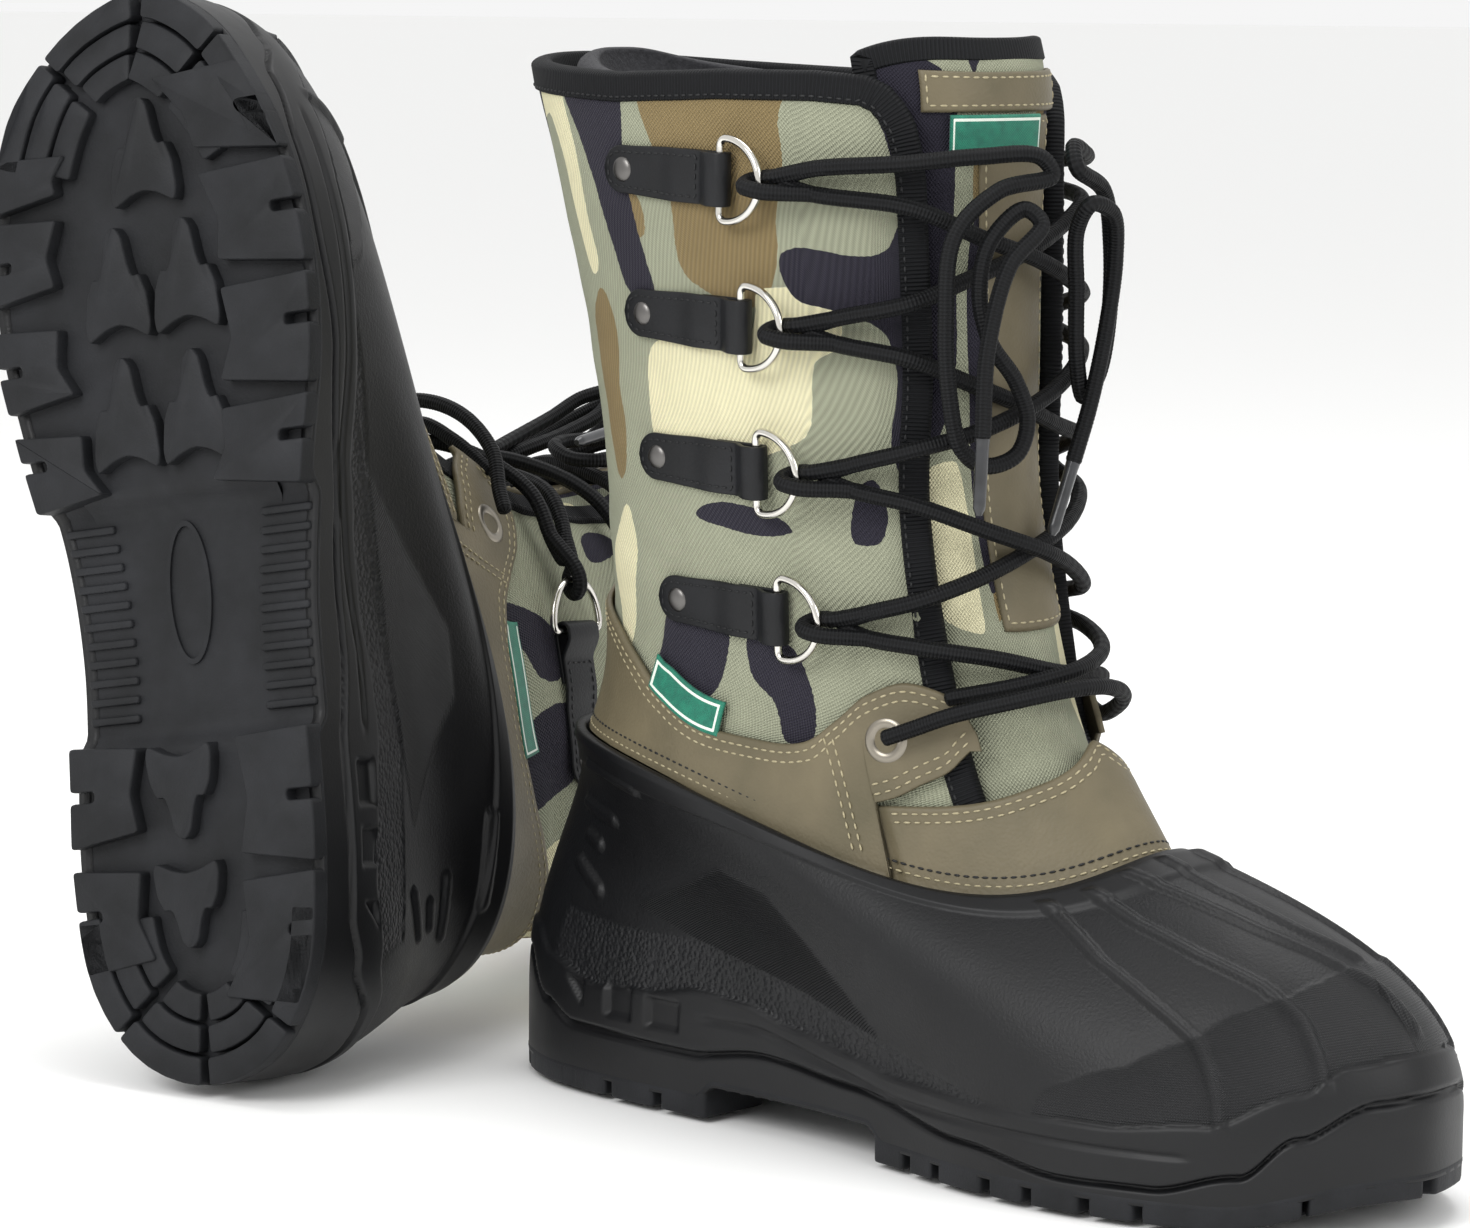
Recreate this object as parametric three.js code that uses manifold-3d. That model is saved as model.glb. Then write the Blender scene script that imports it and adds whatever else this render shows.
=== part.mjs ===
// A pair of insulated hunting boots. The right boot stands at its own frame: +X to the toe, +Y to the inner
// side of the foot, +Z up from the ground. The left boot is its mirror image, lying on its back behind it.
// All lengths are in millimetres.
import * as THREE from 'three';
import { mergeVertices } from 'three/addons/utils/BufferGeometryUtils.js';
import Module from 'manifold-3d';

const wasm = await Module();
wasm.setup();

// Driving dimensions of one boot
const soleLength = 319;
const ballWidth = 114;
const heelEnd = -5;
const shaftHeight = 296;
const tongueHeight = 312;
const throatHeight = 89;
const halfShaft = 58;

// Layers, each as its outer and inner depth under the boot's outer skin
const clearance = 0.3;
const layerGap = 0.9;
const linerGap = 2.4;
const shellWall = 3;
const bandThickness = 1.8;
const shaftThickness = 4.6;
const tongueThickness = 4.4;
const linerThickness = 7;
const bandDepth = shellWall + layerGap;
const shaftDepth = bandDepth + bandThickness + layerGap;
const tongueDepth = shaftDepth + shaftThickness + clearance;
const linerDepth = tongueDepth + tongueThickness + linerGap;
const linerFootDepth = shellWall + 2;

// Sole
const soleWelt = 1.2;
const soleInset = 3;
const heelThickness = 25;
const ballThickness = 17;
const archLift = 11;
const toeSpring = 8;
const shellFloor = 4;
const footbedThickness = 4;
const footbedMargin = 4;

// Lacing hardware
const ringWire = 1.15;
const ringReach = 16;
const ringHalfHeight = 11.5;
const ringTilt = 4 * Math.PI / 180;
const eyeWall = 1.5;
const eyeHole = ringWire + 0.5;
const strapThickness = 2;
const strapWidth = 15;
const strapLength = 40;
const strapEnd = 8;
const rivetRadius = 3.6;
const rivetHeight = 1.1;
const rowCount = 4;
const lowestRow = 146;
const highestRow = shaftHeight - 29;
const rowBars = [123, 118, 114, 107];
const eyeletX = 157;
const eyeletZ = 115;
const eyeletHole = 3.1;
const eyeletBarrel = 4.4;
const eyeletFlange = 6.6;
const laceRadius = 2.3;

// How the left boot lies
const leftAngles = [-6.45, -9.57, 14.22];
const leftPlace = [-25.15, -128.59, 8.6];
const leftLean = -31.5;
const leanStart = 130;

const materials = {
  rubber: new THREE.MeshStandardMaterial({ color: 0x1b1c1e, roughness: 0.72 }),
  leather: new THREE.MeshStandardMaterial({ color: 0x5d5644, roughness: 0.62 }),
  camouflage: new THREE.MeshStandardMaterial({ color: 0x7b8268, roughness: 0.92 }),
  felt: new THREE.MeshStandardMaterial({ color: 0x8d8b83, roughness: 1 }),
  foam: new THREE.MeshStandardMaterial({ color: 0x3a3b3c, roughness: 0.95 }),
  strap: new THREE.MeshStandardMaterial({ color: 0x202124, roughness: 0.6 }),
  nickel: new THREE.MeshStandardMaterial({ color: 0xd2cdc2, roughness: 0.2, metalness: 1 }),
  bronze: new THREE.MeshStandardMaterial({ color: 0x77736b, roughness: 0.35, metalness: 1 }),
  lace: new THREE.MeshStandardMaterial({ color: 0x17181a, roughness: 0.85 }),
};

// Sole outline from the toe tip round the inner side to the heel and back: share of the sole's length from
// the heel, share of the ball's width from the middle.
const soleOutline = [
  [1, 0.03], [0.975, 0.24], [0.918, 0.38], [0.82, 0.485], [0.705, 0.51], [0.6, 0.455], [0.49, 0.375],
  [0.39, 0.345], [0.29, 0.355], [0.19, 0.365], [0.09, 0.325], [0.024, 0.19], [0, -0.01], [0.024, -0.21],
  [0.09, -0.335], [0.19, -0.38], [0.31, -0.385], [0.43, -0.385], [0.545, -0.425], [0.66, -0.48],
  [0.77, -0.47], [0.87, -0.39], [0.945, -0.245], [0.987, -0.09],
];
const outlineCurve = new THREE.CatmullRomCurve3(
  soleOutline.map(([along, across]) => new THREE.Vector3(
    heelEnd + along * soleLength, across * ballWidth, 0)), true, 'centripetal');

// Cross-sections of the upper from the shell's rim to the tongue's top. Each is an oval in plan, narrower
// towards the front by taper, tilted from backZ to frontZ, with its sides dropped by sag. spread moves the
// columns of the skin back from the front.
const ankleRise = highestRow - lowestRow;
const sections = [
  { back: 15, backZ: 105, front: 227, frontZ: throatHeight, half: 54, square: 2.4, taper: 0.34, sag: 36,
    spread: 0.5 },
  { back: 19, backZ: 122, front: 205, frontZ: 116, half: 51, square: 2.25, taper: 0.24, sag: 14, spread: 0.45 },
  { back: 21, backZ: 142, front: 191, frontZ: 139, half: 51, square: 2.3, taper: 0.14, sag: 0, spread: 0.32 },
  { back: 20, backZ: lowestRow + 0.28 * ankleRise, front: 179, half: 54, square: 2.3, taper: 0.08, sag: 0,
    spread: 0.14 },
  { back: 14, backZ: lowestRow + 0.58 * ankleRise, front: 177, half: 56, square: 2.3, taper: 0.04, sag: 0,
    spread: 0 },
  { back: -1, backZ: highestRow, front: 176, half: halfShaft, square: 2.3, taper: 0.02, sag: 0, spread: 0 },
  { back: -12, backZ: shaftHeight, front: 176, half: halfShaft, square: 2.3, taper: 0, sag: 0, spread: 0 },
  { back: -16, backZ: tongueHeight + 6, front: 170, half: halfShaft, square: 2.3, taper: 0, sag: 0, spread: 0 },
];

// The value at a share between [share, value] stations, eased at each station or straight
function between(stations, share, ease = THREE.MathUtils.smoothstep) {
  const next = stations.findIndex(([at]) => at >= share);
  if (next < 0) return stations[stations.length - 1][1];
  if (next === 0) return stations[0][1];
  const [a, low] = stations[next - 1];
  const [b, high] = stations[next];
  return low + (high - low) * ease(share, a, b);
}
const along = (stations, share) => between(stations, share, (at, a, b) => (at - a) / (b - a));

const featherStations = [[0, heelThickness], [0.34, heelThickness], [0.58, ballThickness],
  [0.86, ballThickness], [1, ballThickness + toeSpring]];
const treadStations = [[0, 0], [0.3, 0], [0.35, archLift], [0.44, archLift], [0.49, 0], [0.91, 0],
  [1, toeSpring]];
const alongSole = (x) => (x - heelEnd) / soleLength;
const featherHeight = (x) => between(featherStations, alongSole(x));
const treadHeight = (x) => between(treadStations, alongSole(x));

// A point of the sole's plan outline, moved outwards by grow. u runs once round from the toe.
function outlinePoint(u, grow = 0) {
  const point = outlineCurve.getPointAt((u + 1) % 1);
  const tangent = outlineCurve.getTangentAt((u + 1) % 1);
  return new THREE.Vector3(point.x + grow * tangent.y, point.y - grow * tangent.x, 0);
}

function sectionPoint({ back, backZ, front, frontZ = backZ, half, square, taper, sag, spread }, u) {
  const angle = 2 * Math.PI * u + spread * Math.sin(2 * Math.PI * u);
  const cos = Math.cos(angle);
  const sin = Math.sin(angle);
  const reach = (value) => Math.sign(value) * Math.abs(value) ** (2 / square);
  const forward = (1 + reach(cos)) / 2;
  return new THREE.Vector3(
    back + (front - back) * forward,
    half * reach(sin) * (1 - taper * forward ** 2),
    backZ + (frontZ - backZ) * forward - sag * sin ** 2 * forward ** 2);
}

// A soft shaft bends back by lean at its top, or forward where lean is negative.
function leant(x, z, lean) {
  return x - lean * (Math.max(0, z - leanStart) / (shaftHeight - leanStart)) ** 2;
}

// The outer skin: v = 0 at the sole, 1 at the shell's rim, 2 above the shaft.
const columns = new Map();
function skinColumn(u, lean) {
  const key = `${u.toFixed(6)} ${lean}`;
  if (!columns.has(key)) {
    const foot = outlinePoint(u);
    foot.z = featherHeight(foot.x);
    const [rim, ...above] = sections.map((section) => sectionPoint(section, u));
    const forward = (1 + Math.cos(2 * Math.PI * u)) / 2;
    const outward = new THREE.Vector3(foot.x - rim.x, foot.y - rim.y, 0);
    const rise = rim.z - foot.z;
    const low = foot.clone().add(new THREE.Vector3(2 * forward ** 6, 0, rise * 0.45));
    low.z = foot.z + rise * (0.4 + 0.12 * forward ** 4);
    const high = rim.clone().addScaledVector(outward, 0.28 + 0.3 * forward ** 3);
    high.z = rim.z - rise * (0.36 - 0.15 * forward ** 2);
    const shell = new THREE.CubicBezierCurve3(foot, low, high, rim);
    const upper = [rim, ...above];
    for (const point of upper) point.x = leant(point.x, point.z, lean);
    columns.set(key, { shell, upper: new THREE.CatmullRomCurve3(upper, false, 'centripetal') });
  }
  return columns.get(key);
}

function skin(u, v, lean) {
  const { shell, upper } = skinColumn(u, lean);
  return v < 1 ? shell.getPoint(v) : upper.getPoint(v - 1);
}

function skinNormal(u, v, lean) {
  const step = 0.004;
  const around = skin(u + step, v, lean).sub(skin(u - step, v, lean));
  const low = Math.max(0, v - step);
  const up = skin(u, low + 2 * step, lean).sub(skin(u, low, lean));
  return around.cross(up).normalize();
}

const under = (u, v, depth, lean) => skin(u, v, lean).addScaledVector(skinNormal(u, v, lean), -depth);

// The skin's parameters at a given x and z of the upright boot: side is +1 on the inner side, -1 on the outer.
function locate(x, z, side) {
  let u = side > 0 ? 0.2 : 0.8;
  let v = 1.3;
  const step = 1e-4;
  for (let round = 0; round < 30; round += 1) {
    const here = skin(u, v, 0);
    const du = skin(u + step, v, 0).sub(here).divideScalar(step);
    const dv = skin(u, v + step, 0).sub(here).divideScalar(step);
    const determinant = du.x * dv.z - du.z * dv.x;
    const gapX = x - here.x;
    const gapZ = z - here.z;
    u += THREE.MathUtils.clamp((gapX * dv.z - gapZ * dv.x) / determinant, -0.05, 0.05);
    v += THREE.MathUtils.clamp((du.x * gapZ - du.z * gapX) / determinant, -0.1, 0.1);
    v = THREE.MathUtils.clamp(v, 0.1, 1.99);
  }
  return { u, v };
}

const heightOf = (z, u) => {
  let low = 0.05;
  let high = 2;
  for (let round = 0; round < 30; round += 1) {
    const middle = (low + high) / 2;
    if (skin(u, middle, 0).z < z) low = middle;
    else high = middle;
  }
  return low;
};

function closedGeometry(points, triangles) {
  let volume = 0;
  for (const [a, b, c] of triangles) {
    volume += points[a].dot(points[b].clone().cross(points[c]));
  }
  const facing = volume < 0 ? triangles.map(([a, b, c]) => [a, c, b]) : triangles;
  const geometry = new THREE.BufferGeometry();
  geometry.setAttribute('position', new THREE.Float32BufferAttribute(points.flatMap((p) => p.toArray()), 3));
  geometry.setIndex(facing.flat());
  geometry.computeVertexNormals();
  return geometry;
}

// A solid through closed rings of equal length, its two ends closed by strips from side to side.
function ringSolid(rings) {
  const count = rings[0].length;
  const points = rings.flat();
  const triangles = [];
  for (let row = 0; row + 1 < rings.length; row += 1) {
    for (let i = 0; i < count; i += 1) {
      const j = (i + 1) % count;
      const a = row * count;
      const b = a + count;
      triangles.push([a + i, a + j, b + j], [a + i, b + j, b + i]);
    }
  }
  for (const [start, flip] of [[0, true], [(rings.length - 1) * count, false]]) {
    for (let i = 0; i < count / 2; i += 1) {
      const far = count - i;
      const corners = [i, i + 1, far - 1, far % count].map((at) => start + at);
      const [a, b, c, d] = flip ? [...corners].reverse() : corners;
      if (i > 0) triangles.push(flip ? [a, c, d] : [a, b, d]);
      if (i + 1 < count / 2) triangles.push(flip ? [a, b, c] : [b, c, d]);
    }
  }
  return closedGeometry(points, triangles);
}

// A sheet with an outer and an inner face, each a grid of rows.
function sheetSolid(outer, inner) {
  const rows = outer.length;
  const count = outer[0].length;
  const points = [...outer.flat(), ...inner.flat()];
  const at = (row, i, face) => (face * rows + row) * count + i;
  const triangles = [];
  const quad = (a, b, c, d) => triangles.push([a, b, c], [a, c, d]);
  for (let row = 0; row + 1 < rows; row += 1) {
    for (let i = 0; i + 1 < count; i += 1) {
      quad(at(row, i, 0), at(row, i + 1, 0), at(row + 1, i + 1, 0), at(row + 1, i, 0));
      quad(at(row, i, 1), at(row + 1, i, 1), at(row + 1, i + 1, 1), at(row, i + 1, 1));
    }
    quad(at(row, 0, 1), at(row, 0, 0), at(row + 1, 0, 0), at(row + 1, 0, 1));
    quad(at(row, count - 1, 0), at(row, count - 1, 1), at(row + 1, count - 1, 1), at(row + 1, count - 1, 0));
  }
  for (let i = 0; i + 1 < count; i += 1) {
    quad(at(0, i, 1), at(0, i + 1, 1), at(0, i + 1, 0), at(0, i, 0));
    quad(at(rows - 1, i, 0), at(rows - 1, i + 1, 0), at(rows - 1, i + 1, 1), at(rows - 1, i, 1));
  }
  return closedGeometry(points, triangles);
}

// The skin is divided into the same columns and levels for every layer, so that the layers nest.
const columnCount = 36;
const level = (section) => 1 + section / (sections.length - 1);
const upperLevels = [0, 0.5, 1, 1.5, 2, 3, 4, 5].map(level);
const shaftTop = level(6);

// The skin's columns between two values of u, ends included, with split columns in each step
function columnsBetween(from, to, split = 1) {
  const step = 1 / (columnCount * split);
  const inside = [];
  for (let i = Math.ceil(from / step + 0.3); i * step < to - 0.3 * step; i += 1) inside.push(i * step);
  return [from, ...inside, to];
}

// A sheet on the skin: levelsAt(u) gives its rows of v at each column.
function skinSheet(columnList, levelsAt, depth, thickness, lean) {
  const rows = columnList.map((u) => levelsAt(u).map((v) => ({ u, v })));
  const grid = (at) => rows[0].map((_, row) => rows.map((column) => (
    under(column[row].u, column[row].v, at, lean))));
  return sheetSolid(grid(depth), grid(depth + thickness));
}

const skinRing = (v, depth, lean, count = columnCount) => (
  Array.from({ length: count }, (_, i) => under(i / count, v, depth, lean)));

// The same shape as a manifold solid, and back
function toSolid(geometry) {
  const bare = geometry.clone();
  bare.deleteAttribute('normal');
  bare.deleteAttribute('uv');
  const merged = mergeVertices(bare, 1e-4);
  return new wasm.Manifold(new wasm.Mesh({
    numProp: 3,
    vertProperties: new Float32Array(merged.attributes.position.array),
    triVerts: new Uint32Array(merged.index.array),
  }));
}

function toGeometry(solid) {
  const { vertProperties, triVerts } = solid.getMesh();
  const geometry = new THREE.BufferGeometry();
  geometry.setAttribute('position', new THREE.Float32BufferAttribute(vertProperties, 3));
  geometry.setIndex(Array.from(triVerts));
  geometry.computeVertexNormals();
  return geometry;
}

// A ring that follows the sole's outline, moved outwards by grow and up from the feather line by lift
function soleRing(grow, height, count = columnCount) {
  return Array.from({ length: count }, (_, i) => {
    const point = outlinePoint(i / count, grow);
    point.z = height(outlinePoint(i / count).x);
    return point;
  });
}
const aboveFeather = (lift) => (x) => featherHeight(x) + lift;

function outsoleGeometry() {
  return ringSolid([
    soleRing(-soleInset, treadHeight),
    soleRing(0, (x) => treadHeight(x) + soleInset),
    soleRing(soleWelt, aboveFeather(-soleInset)),
    soleRing(0, aboveFeather(-clearance)),
  ]);
}

const tuck = 0.95;
const bandTuck = 0.985;
function shellGeometry(lean) {
  const heights = [0, 0.15, 0.3, 0.45, 0.6, 0.75, 0.88, 1];
  const innerHeights = [1, tuck, 0.75, 0.45, 0.2];
  return ringSolid([
    ...heights.map((v) => skinRing(v, 0, lean)),
    ...innerHeights.map((v) => skinRing(v, shellWall, lean)),
    soleRing(-shellWall, aboveFeather(shellFloor)),
  ]);
}

function footbedGeometry() {
  const grow = -shellWall - footbedMargin;
  const bottom = shellFloor + clearance;
  return ringSolid([
    soleRing(grow, aboveFeather(bottom)),
    soleRing(grow, aboveFeather(bottom + footbedThickness)),
  ]);
}

// The removable liner: a closed sock with an open top, resting on the footbed. Each step is a level of the
// skin and how far the liner has moved from the shell's depth to the tongue's.
const linerColumns = 28;
const linerSteps = [[0.25, 0], [0.45, 0], [0.65, 0.1], [0.8, 0.6], [0.92, 1.1], [level(0.4), 1.1], [level(1), 1],
  [level(1.5), 1], [level(2), 1], [level(3), 1], [level(4.5), 1], [level(5.8), 1]];
function linerGeometry(lean) {
  const bottom = shellFloor + footbedThickness + 4 * clearance;
  const ring = ([v, share], extra) => skinRing(
    v, THREE.MathUtils.lerp(linerFootDepth, linerDepth, share) + extra, lean, linerColumns);
  const outer = linerSteps.map((step) => ring(step, 0));
  const inner = linerSteps.filter((_, i) => i % 2 === 1).map((step) => ring(step, linerThickness)).reverse();
  const base = -linerFootDepth - 2;
  return ringSolid([
    soleRing(base, aboveFeather(bottom), linerColumns),
    ...outer,
    ...inner,
    soleRing(base - linerThickness, aboveFeather(bottom + linerThickness), linerColumns),
  ]);
}

// The shaft's wall, open at the front between its two flap edges
const flapEdge = 0.092;
function shaftGeometry(lean) {
  const levels = [tuck, ...upperLevels, shaftTop];
  return skinSheet(columnsBetween(flapEdge, 1 - flapEdge), () => levels, shaftDepth, shaftThickness, lean);
}

const tongueEdge = 5 / columnCount;
function tongueGeometry(lean) {
  const top = (u) => heightOf(tongueHeight, u);
  const levelsAt = (u) => [level(0.3), ...upperLevels.slice(1), shaftTop, top(u)];
  return skinSheet(columnsBetween(-tongueEdge, tongueEdge), levelsAt, tongueDepth, tongueThickness, lean);
}

// Top edge of the vamp band: share of its half length and height
const vampEnd = 158;
const vampEdge = [[0, 119], [0.4, 107], [0.75, 99], [1, 97]];
function vampBandGeometry(lean) {
  const end = locate(vampEnd, vampEdge[0][1] - 25, 1).u;
  const levelsAt = (u) => [bandTuck, 1, heightOf(between(vampEdge, Math.abs(u) / end), u)];
  return skinSheet(columnsBetween(-end, end, 2), levelsAt, bandDepth, bandThickness, lean);
}

// Outline of the quarter band's side: x and z of its top edge, x and z of its lower edge, back to front
const quarterTop = [[40, 139], [56, 130], [73, 120], [92, 113], [115, 111], [130, 112], [141, 119], [151, 127],
  [162, 131], [174, 128], [181, 119]];
const quarterLow = [[155, 98], [161, 100], [168, 104], [175, 108], [180, 114]];
const quarterBackZ = 150;
function quarterBandGeometry(lean) {
  const toStations = (outline) => outline.map(([x, z]) => locate(x, z, 1)).reverse().map(({ u, v }) => [u, v]);
  const top = [...toStations(quarterTop), [0.5, heightOf(quarterBackZ, 0.5)]];
  const low = toStations(quarterLow);
  const start = top[0][0];
  const seam = low[low.length - 1][0];
  const levelsAt = (u) => {
    const share = Math.min(u, 1 - u);
    const bottom = share > seam + 0.001 ? bandTuck : along(low, share);
    const upper = along(top, share);
    const third = Math.max(1, bottom);
    return [bottom, third + 0.001, (third + upper) / 2, upper];
  };
  const columnList = [
    ...columnsBetween(start, seam, 2), ...columnsBetween(seam + 0.002, 1 - seam - 0.002),
    ...columnsBetween(1 - seam, 1 - start, 2)];
  let band = toSolid(skinSheet(columnList, levelsAt, bandDepth, bandThickness, lean));
  for (const sign of [1, -1]) {
    const hole = new THREE.CylinderGeometry(eyeletBarrel + layerGap, eyeletBarrel + layerGap, 12, 10);
    hole.applyMatrix4(eyeletMatrix(sign, lean));
    band = band.subtract(toSolid(hole));
  }
  return toGeometry(band);
}

// Frame of an eyelet: its Y axis points out of the boot
function eyeletMatrix(sign, lean) {
  const { u, v } = locate(eyeletX, eyeletZ, sign);
  const normal = skinNormal(u, v, lean);
  const forward = new THREE.Vector3(1, 0, 0).addScaledVector(normal, -normal.x).normalize();
  const basis = new THREE.Matrix4().makeBasis(forward, normal, forward.clone().cross(normal));
  return basis.setPosition(under(u, v, bandDepth, lean));
}

function eyeletGeometry() {
  const lip = 1;
  const profile = [
    [eyeletHole, -bandThickness], [eyeletBarrel, -bandThickness], [eyeletBarrel, layerGap],
    [eyeletFlange, layerGap], [eyeletFlange - lip, layerGap + lip], [eyeletHole, layerGap + lip],
    [eyeletHole, -bandThickness],
  ];
  return new THREE.LatheGeometry(profile.map(([r, y]) => new THREE.Vector2(r, y)), 10);
}

// One lacing row: the frame at the ring's bar, X forward along the skin and Z out of the boot
function rowFrame(row, sign, lean) {
  const z = THREE.MathUtils.lerp(lowestRow, highestRow, row / (rowCount - 1));
  const bar = locate(rowBars[row], z, sign);
  const rivet = locate(rowBars[row] - strapLength, z + 1, sign);
  const at = under(bar.u, bar.v, shaftDepth, lean);
  const from = under(rivet.u, rivet.v, shaftDepth, lean);
  const forward = at.clone().sub(from).normalize();
  const normal = skinNormal((bar.u + rivet.u) / 2, (bar.v + rivet.v) / 2, lean);
  normal.addScaledVector(forward, -normal.dot(forward)).normalize();
  const height = (distance) => {
    const share = THREE.MathUtils.clamp(1 + distance / strapLength, -0.3, 1.1);
    const u = THREE.MathUtils.lerp(rivet.u, bar.u, share);
    const v = THREE.MathUtils.lerp(rivet.v, bar.v, share);
    return under(u, v, shaftDepth, lean).sub(at).dot(normal);
  };
  const basis = new THREE.Matrix4().makeBasis(forward, normal.clone().cross(forward), normal);
  return { matrix: basis.setPosition(at), height };
}

const strapGap = 0.5;
const barHeight = strapGap + eyeHole + eyeWall;

function strapGeometry(height) {
  const eye = eyeHole + eyeWall;
  const stations = [-strapLength - strapEnd, -strapLength, -18, -eye];
  const low = stations.map((x) => [x, height(x) + strapGap]);
  const top = low.map(([x, z]) => [x, z + strapThickness]).reverse();
  const outline = new THREE.Shape();
  outline.moveTo(...low[0]);
  low.slice(1).forEach((corner) => outline.lineTo(...corner));
  outline.lineTo(-0.3 * eye, barHeight - eye);
  outline.absarc(0, barHeight, eye, -0.6 * Math.PI, 0.8 * Math.PI, false);
  top.forEach((corner) => outline.lineTo(...corner));
  outline.closePath();
  const hole = new THREE.Path();
  hole.absarc(0, barHeight, eyeHole, 0, 2 * Math.PI, true);
  outline.holes.push(hole);
  const body = new THREE.ExtrudeGeometry(outline, { depth: strapWidth, bevelEnabled: false, curveSegments: 3 });
  body.rotateX(Math.PI / 2).translate(0, strapWidth / 2, 0);
  const head = new THREE.CylinderGeometry(rivetRadius * 0.75, rivetRadius, rivetHeight + 1, 6);
  head.rotateX(Math.PI / 2);
  head.translate(-strapLength, 0, height(-strapLength) + strapGap + strapThickness + (rivetHeight - 1) / 2);
  return toGeometry(toSolid(body).add(toSolid(head)));
}

// A D of round wire: a straight bar on the Y axis and a bow towards +X
function ringGeometry() {
  const arcSteps = 7;
  const corner = 2.2;
  const middle = [[0, -ringHalfHeight + corner], [0, ringHalfHeight - corner]];
  for (let i = 0; i <= arcSteps; i += 1) {
    const angle = Math.PI * (0.5 - i / arcSteps);
    middle.push([corner + (ringReach - corner) * Math.cos(angle), ringHalfHeight * Math.sin(angle)]);
  }
  const sides = 5;
  const points = [];
  middle.forEach(([x, y], i) => {
    const [ax, ay] = middle[(i + middle.length - 1) % middle.length];
    const [bx, by] = middle[(i + 1) % middle.length];
    const out = new THREE.Vector3(by - ay, ax - bx, 0).normalize();
    for (let k = 0; k < sides; k += 1) {
      const angle = 2 * Math.PI * (k + 0.5) / sides;
      points.push(new THREE.Vector3(x, y, ringWire * Math.sin(angle))
        .addScaledVector(out, ringWire * Math.cos(angle)));
    }
  });
  const triangles = [];
  middle.forEach((_, i) => {
    const next = (i + 1) % middle.length;
    for (let k = 0; k < sides; k += 1) {
      const side = (k + 1) % sides;
      const corners = [i * sides + k, i * sides + side, next * sides + side, next * sides + k];
      triangles.push([corners[0], corners[1], corners[2]], [corners[0], corners[2], corners[3]]);
    }
  });
  return closedGeometry(points, triangles);
}

function addMesh(group, name, geometry, material, matrix = null) {
  const mesh = new THREE.Mesh(geometry, material);
  mesh.name = name;
  if (matrix) matrix.decompose(mesh.position, mesh.quaternion, mesh.scale);
  group.add(mesh);
  return mesh;
}

function makeBoot(prefix, lean) {
  const boot = new THREE.Group();
  const add = (name, geometry, material, matrix) => addMesh(boot, `${prefix}_${name}`, geometry, material, matrix);
  add('outsole', outsoleGeometry(), materials.rubber);
  add('rubber_shell', shellGeometry(lean), materials.rubber);
  add('footbed', footbedGeometry(), materials.foam);
  add('felt_liner', linerGeometry(lean), materials.felt);
  add('shaft', shaftGeometry(lean), materials.camouflage);
  add('tongue', tongueGeometry(lean), materials.camouflage);
  add('vamp_band', vampBandGeometry(lean), materials.leather);
  add('quarter_band', quarterBandGeometry(lean), materials.leather);
  for (const [side, sign] of [['lateral', -1], ['medial', 1]]) {
    add(`eyelet_${side}`, eyeletGeometry(), materials.bronze, eyeletMatrix(sign, lean));
    for (let row = 0; row < rowCount; row += 1) {
      const { matrix, height } = rowFrame(row, sign, lean);
      add(`strap_${side}_${row + 1}`, strapGeometry(height), materials.strap, matrix);
      const swing = new THREE.Matrix4().makeTranslation(0, 0, barHeight)
        .multiply(new THREE.Matrix4().makeRotationY(-ringTilt));
      add(`d_ring_${side}_${row + 1}`, ringGeometry(), materials.nickel, matrix.clone().multiply(swing));
    }
  }
  addLace(boot, prefix, lean);
  return boot;
}

// Routes of the two halves of the lace on the right boot, from the bottom eyelets up through the rings to the
// bow and its hanging tail. The lateral half crosses outside the medial one.
const lateralRoute = [
  [172, -31, 127.5], [184.5, -15, 131], [191.5, 0, 134.5], [187, 16, 137], [178, 27, 139], [163, 37, 141.5],
  [150, 41, 143.5], [144.5, 42.5, 146.5], [151, 41, 149.5], [165, 34, 153], [175, 18, 160], [180.5, 0, 166.5],
  [175, -18, 173], [163, -34, 180], [146, -43.5, 184], [139.5, -45.5, 187], [146, -43.5, 190], [162, -35, 195],
  [171.5, -18, 200], [175.2, 0, 206.5], [171.5, 18, 213], [162, 35, 220], [142, 46.5, 224], [135.5, 49, 227],
  [142, 46.5, 230], [162, 35, 235], [170.5, 18, 241], [174.4, 0, 247], [170.5, -18, 253], [161, -35.5, 261],
  [135, -49.5, 264.5], [128.5, -52, 267.5], [135, -50, 270.5], [160, -37, 273], [173, -22, 275],
  [182, -7, 275], [184, -4, 270], [179, -20, 266], [174, -32, 254], [173, -34, 230], [173, -32, 210],
  [174, -28, 196], [176, -20, 191], [180, -12, 194], [181, -9, 203], [180, -13, 214], [178.5, -22, 225],
  [177, -25, 238], [178.5, -23, 252], [183, -14, 261], [187.5, -12, 257], [185, -22, 246], [183, -28, 224],
  [182.5, -29, 199],
];
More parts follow.
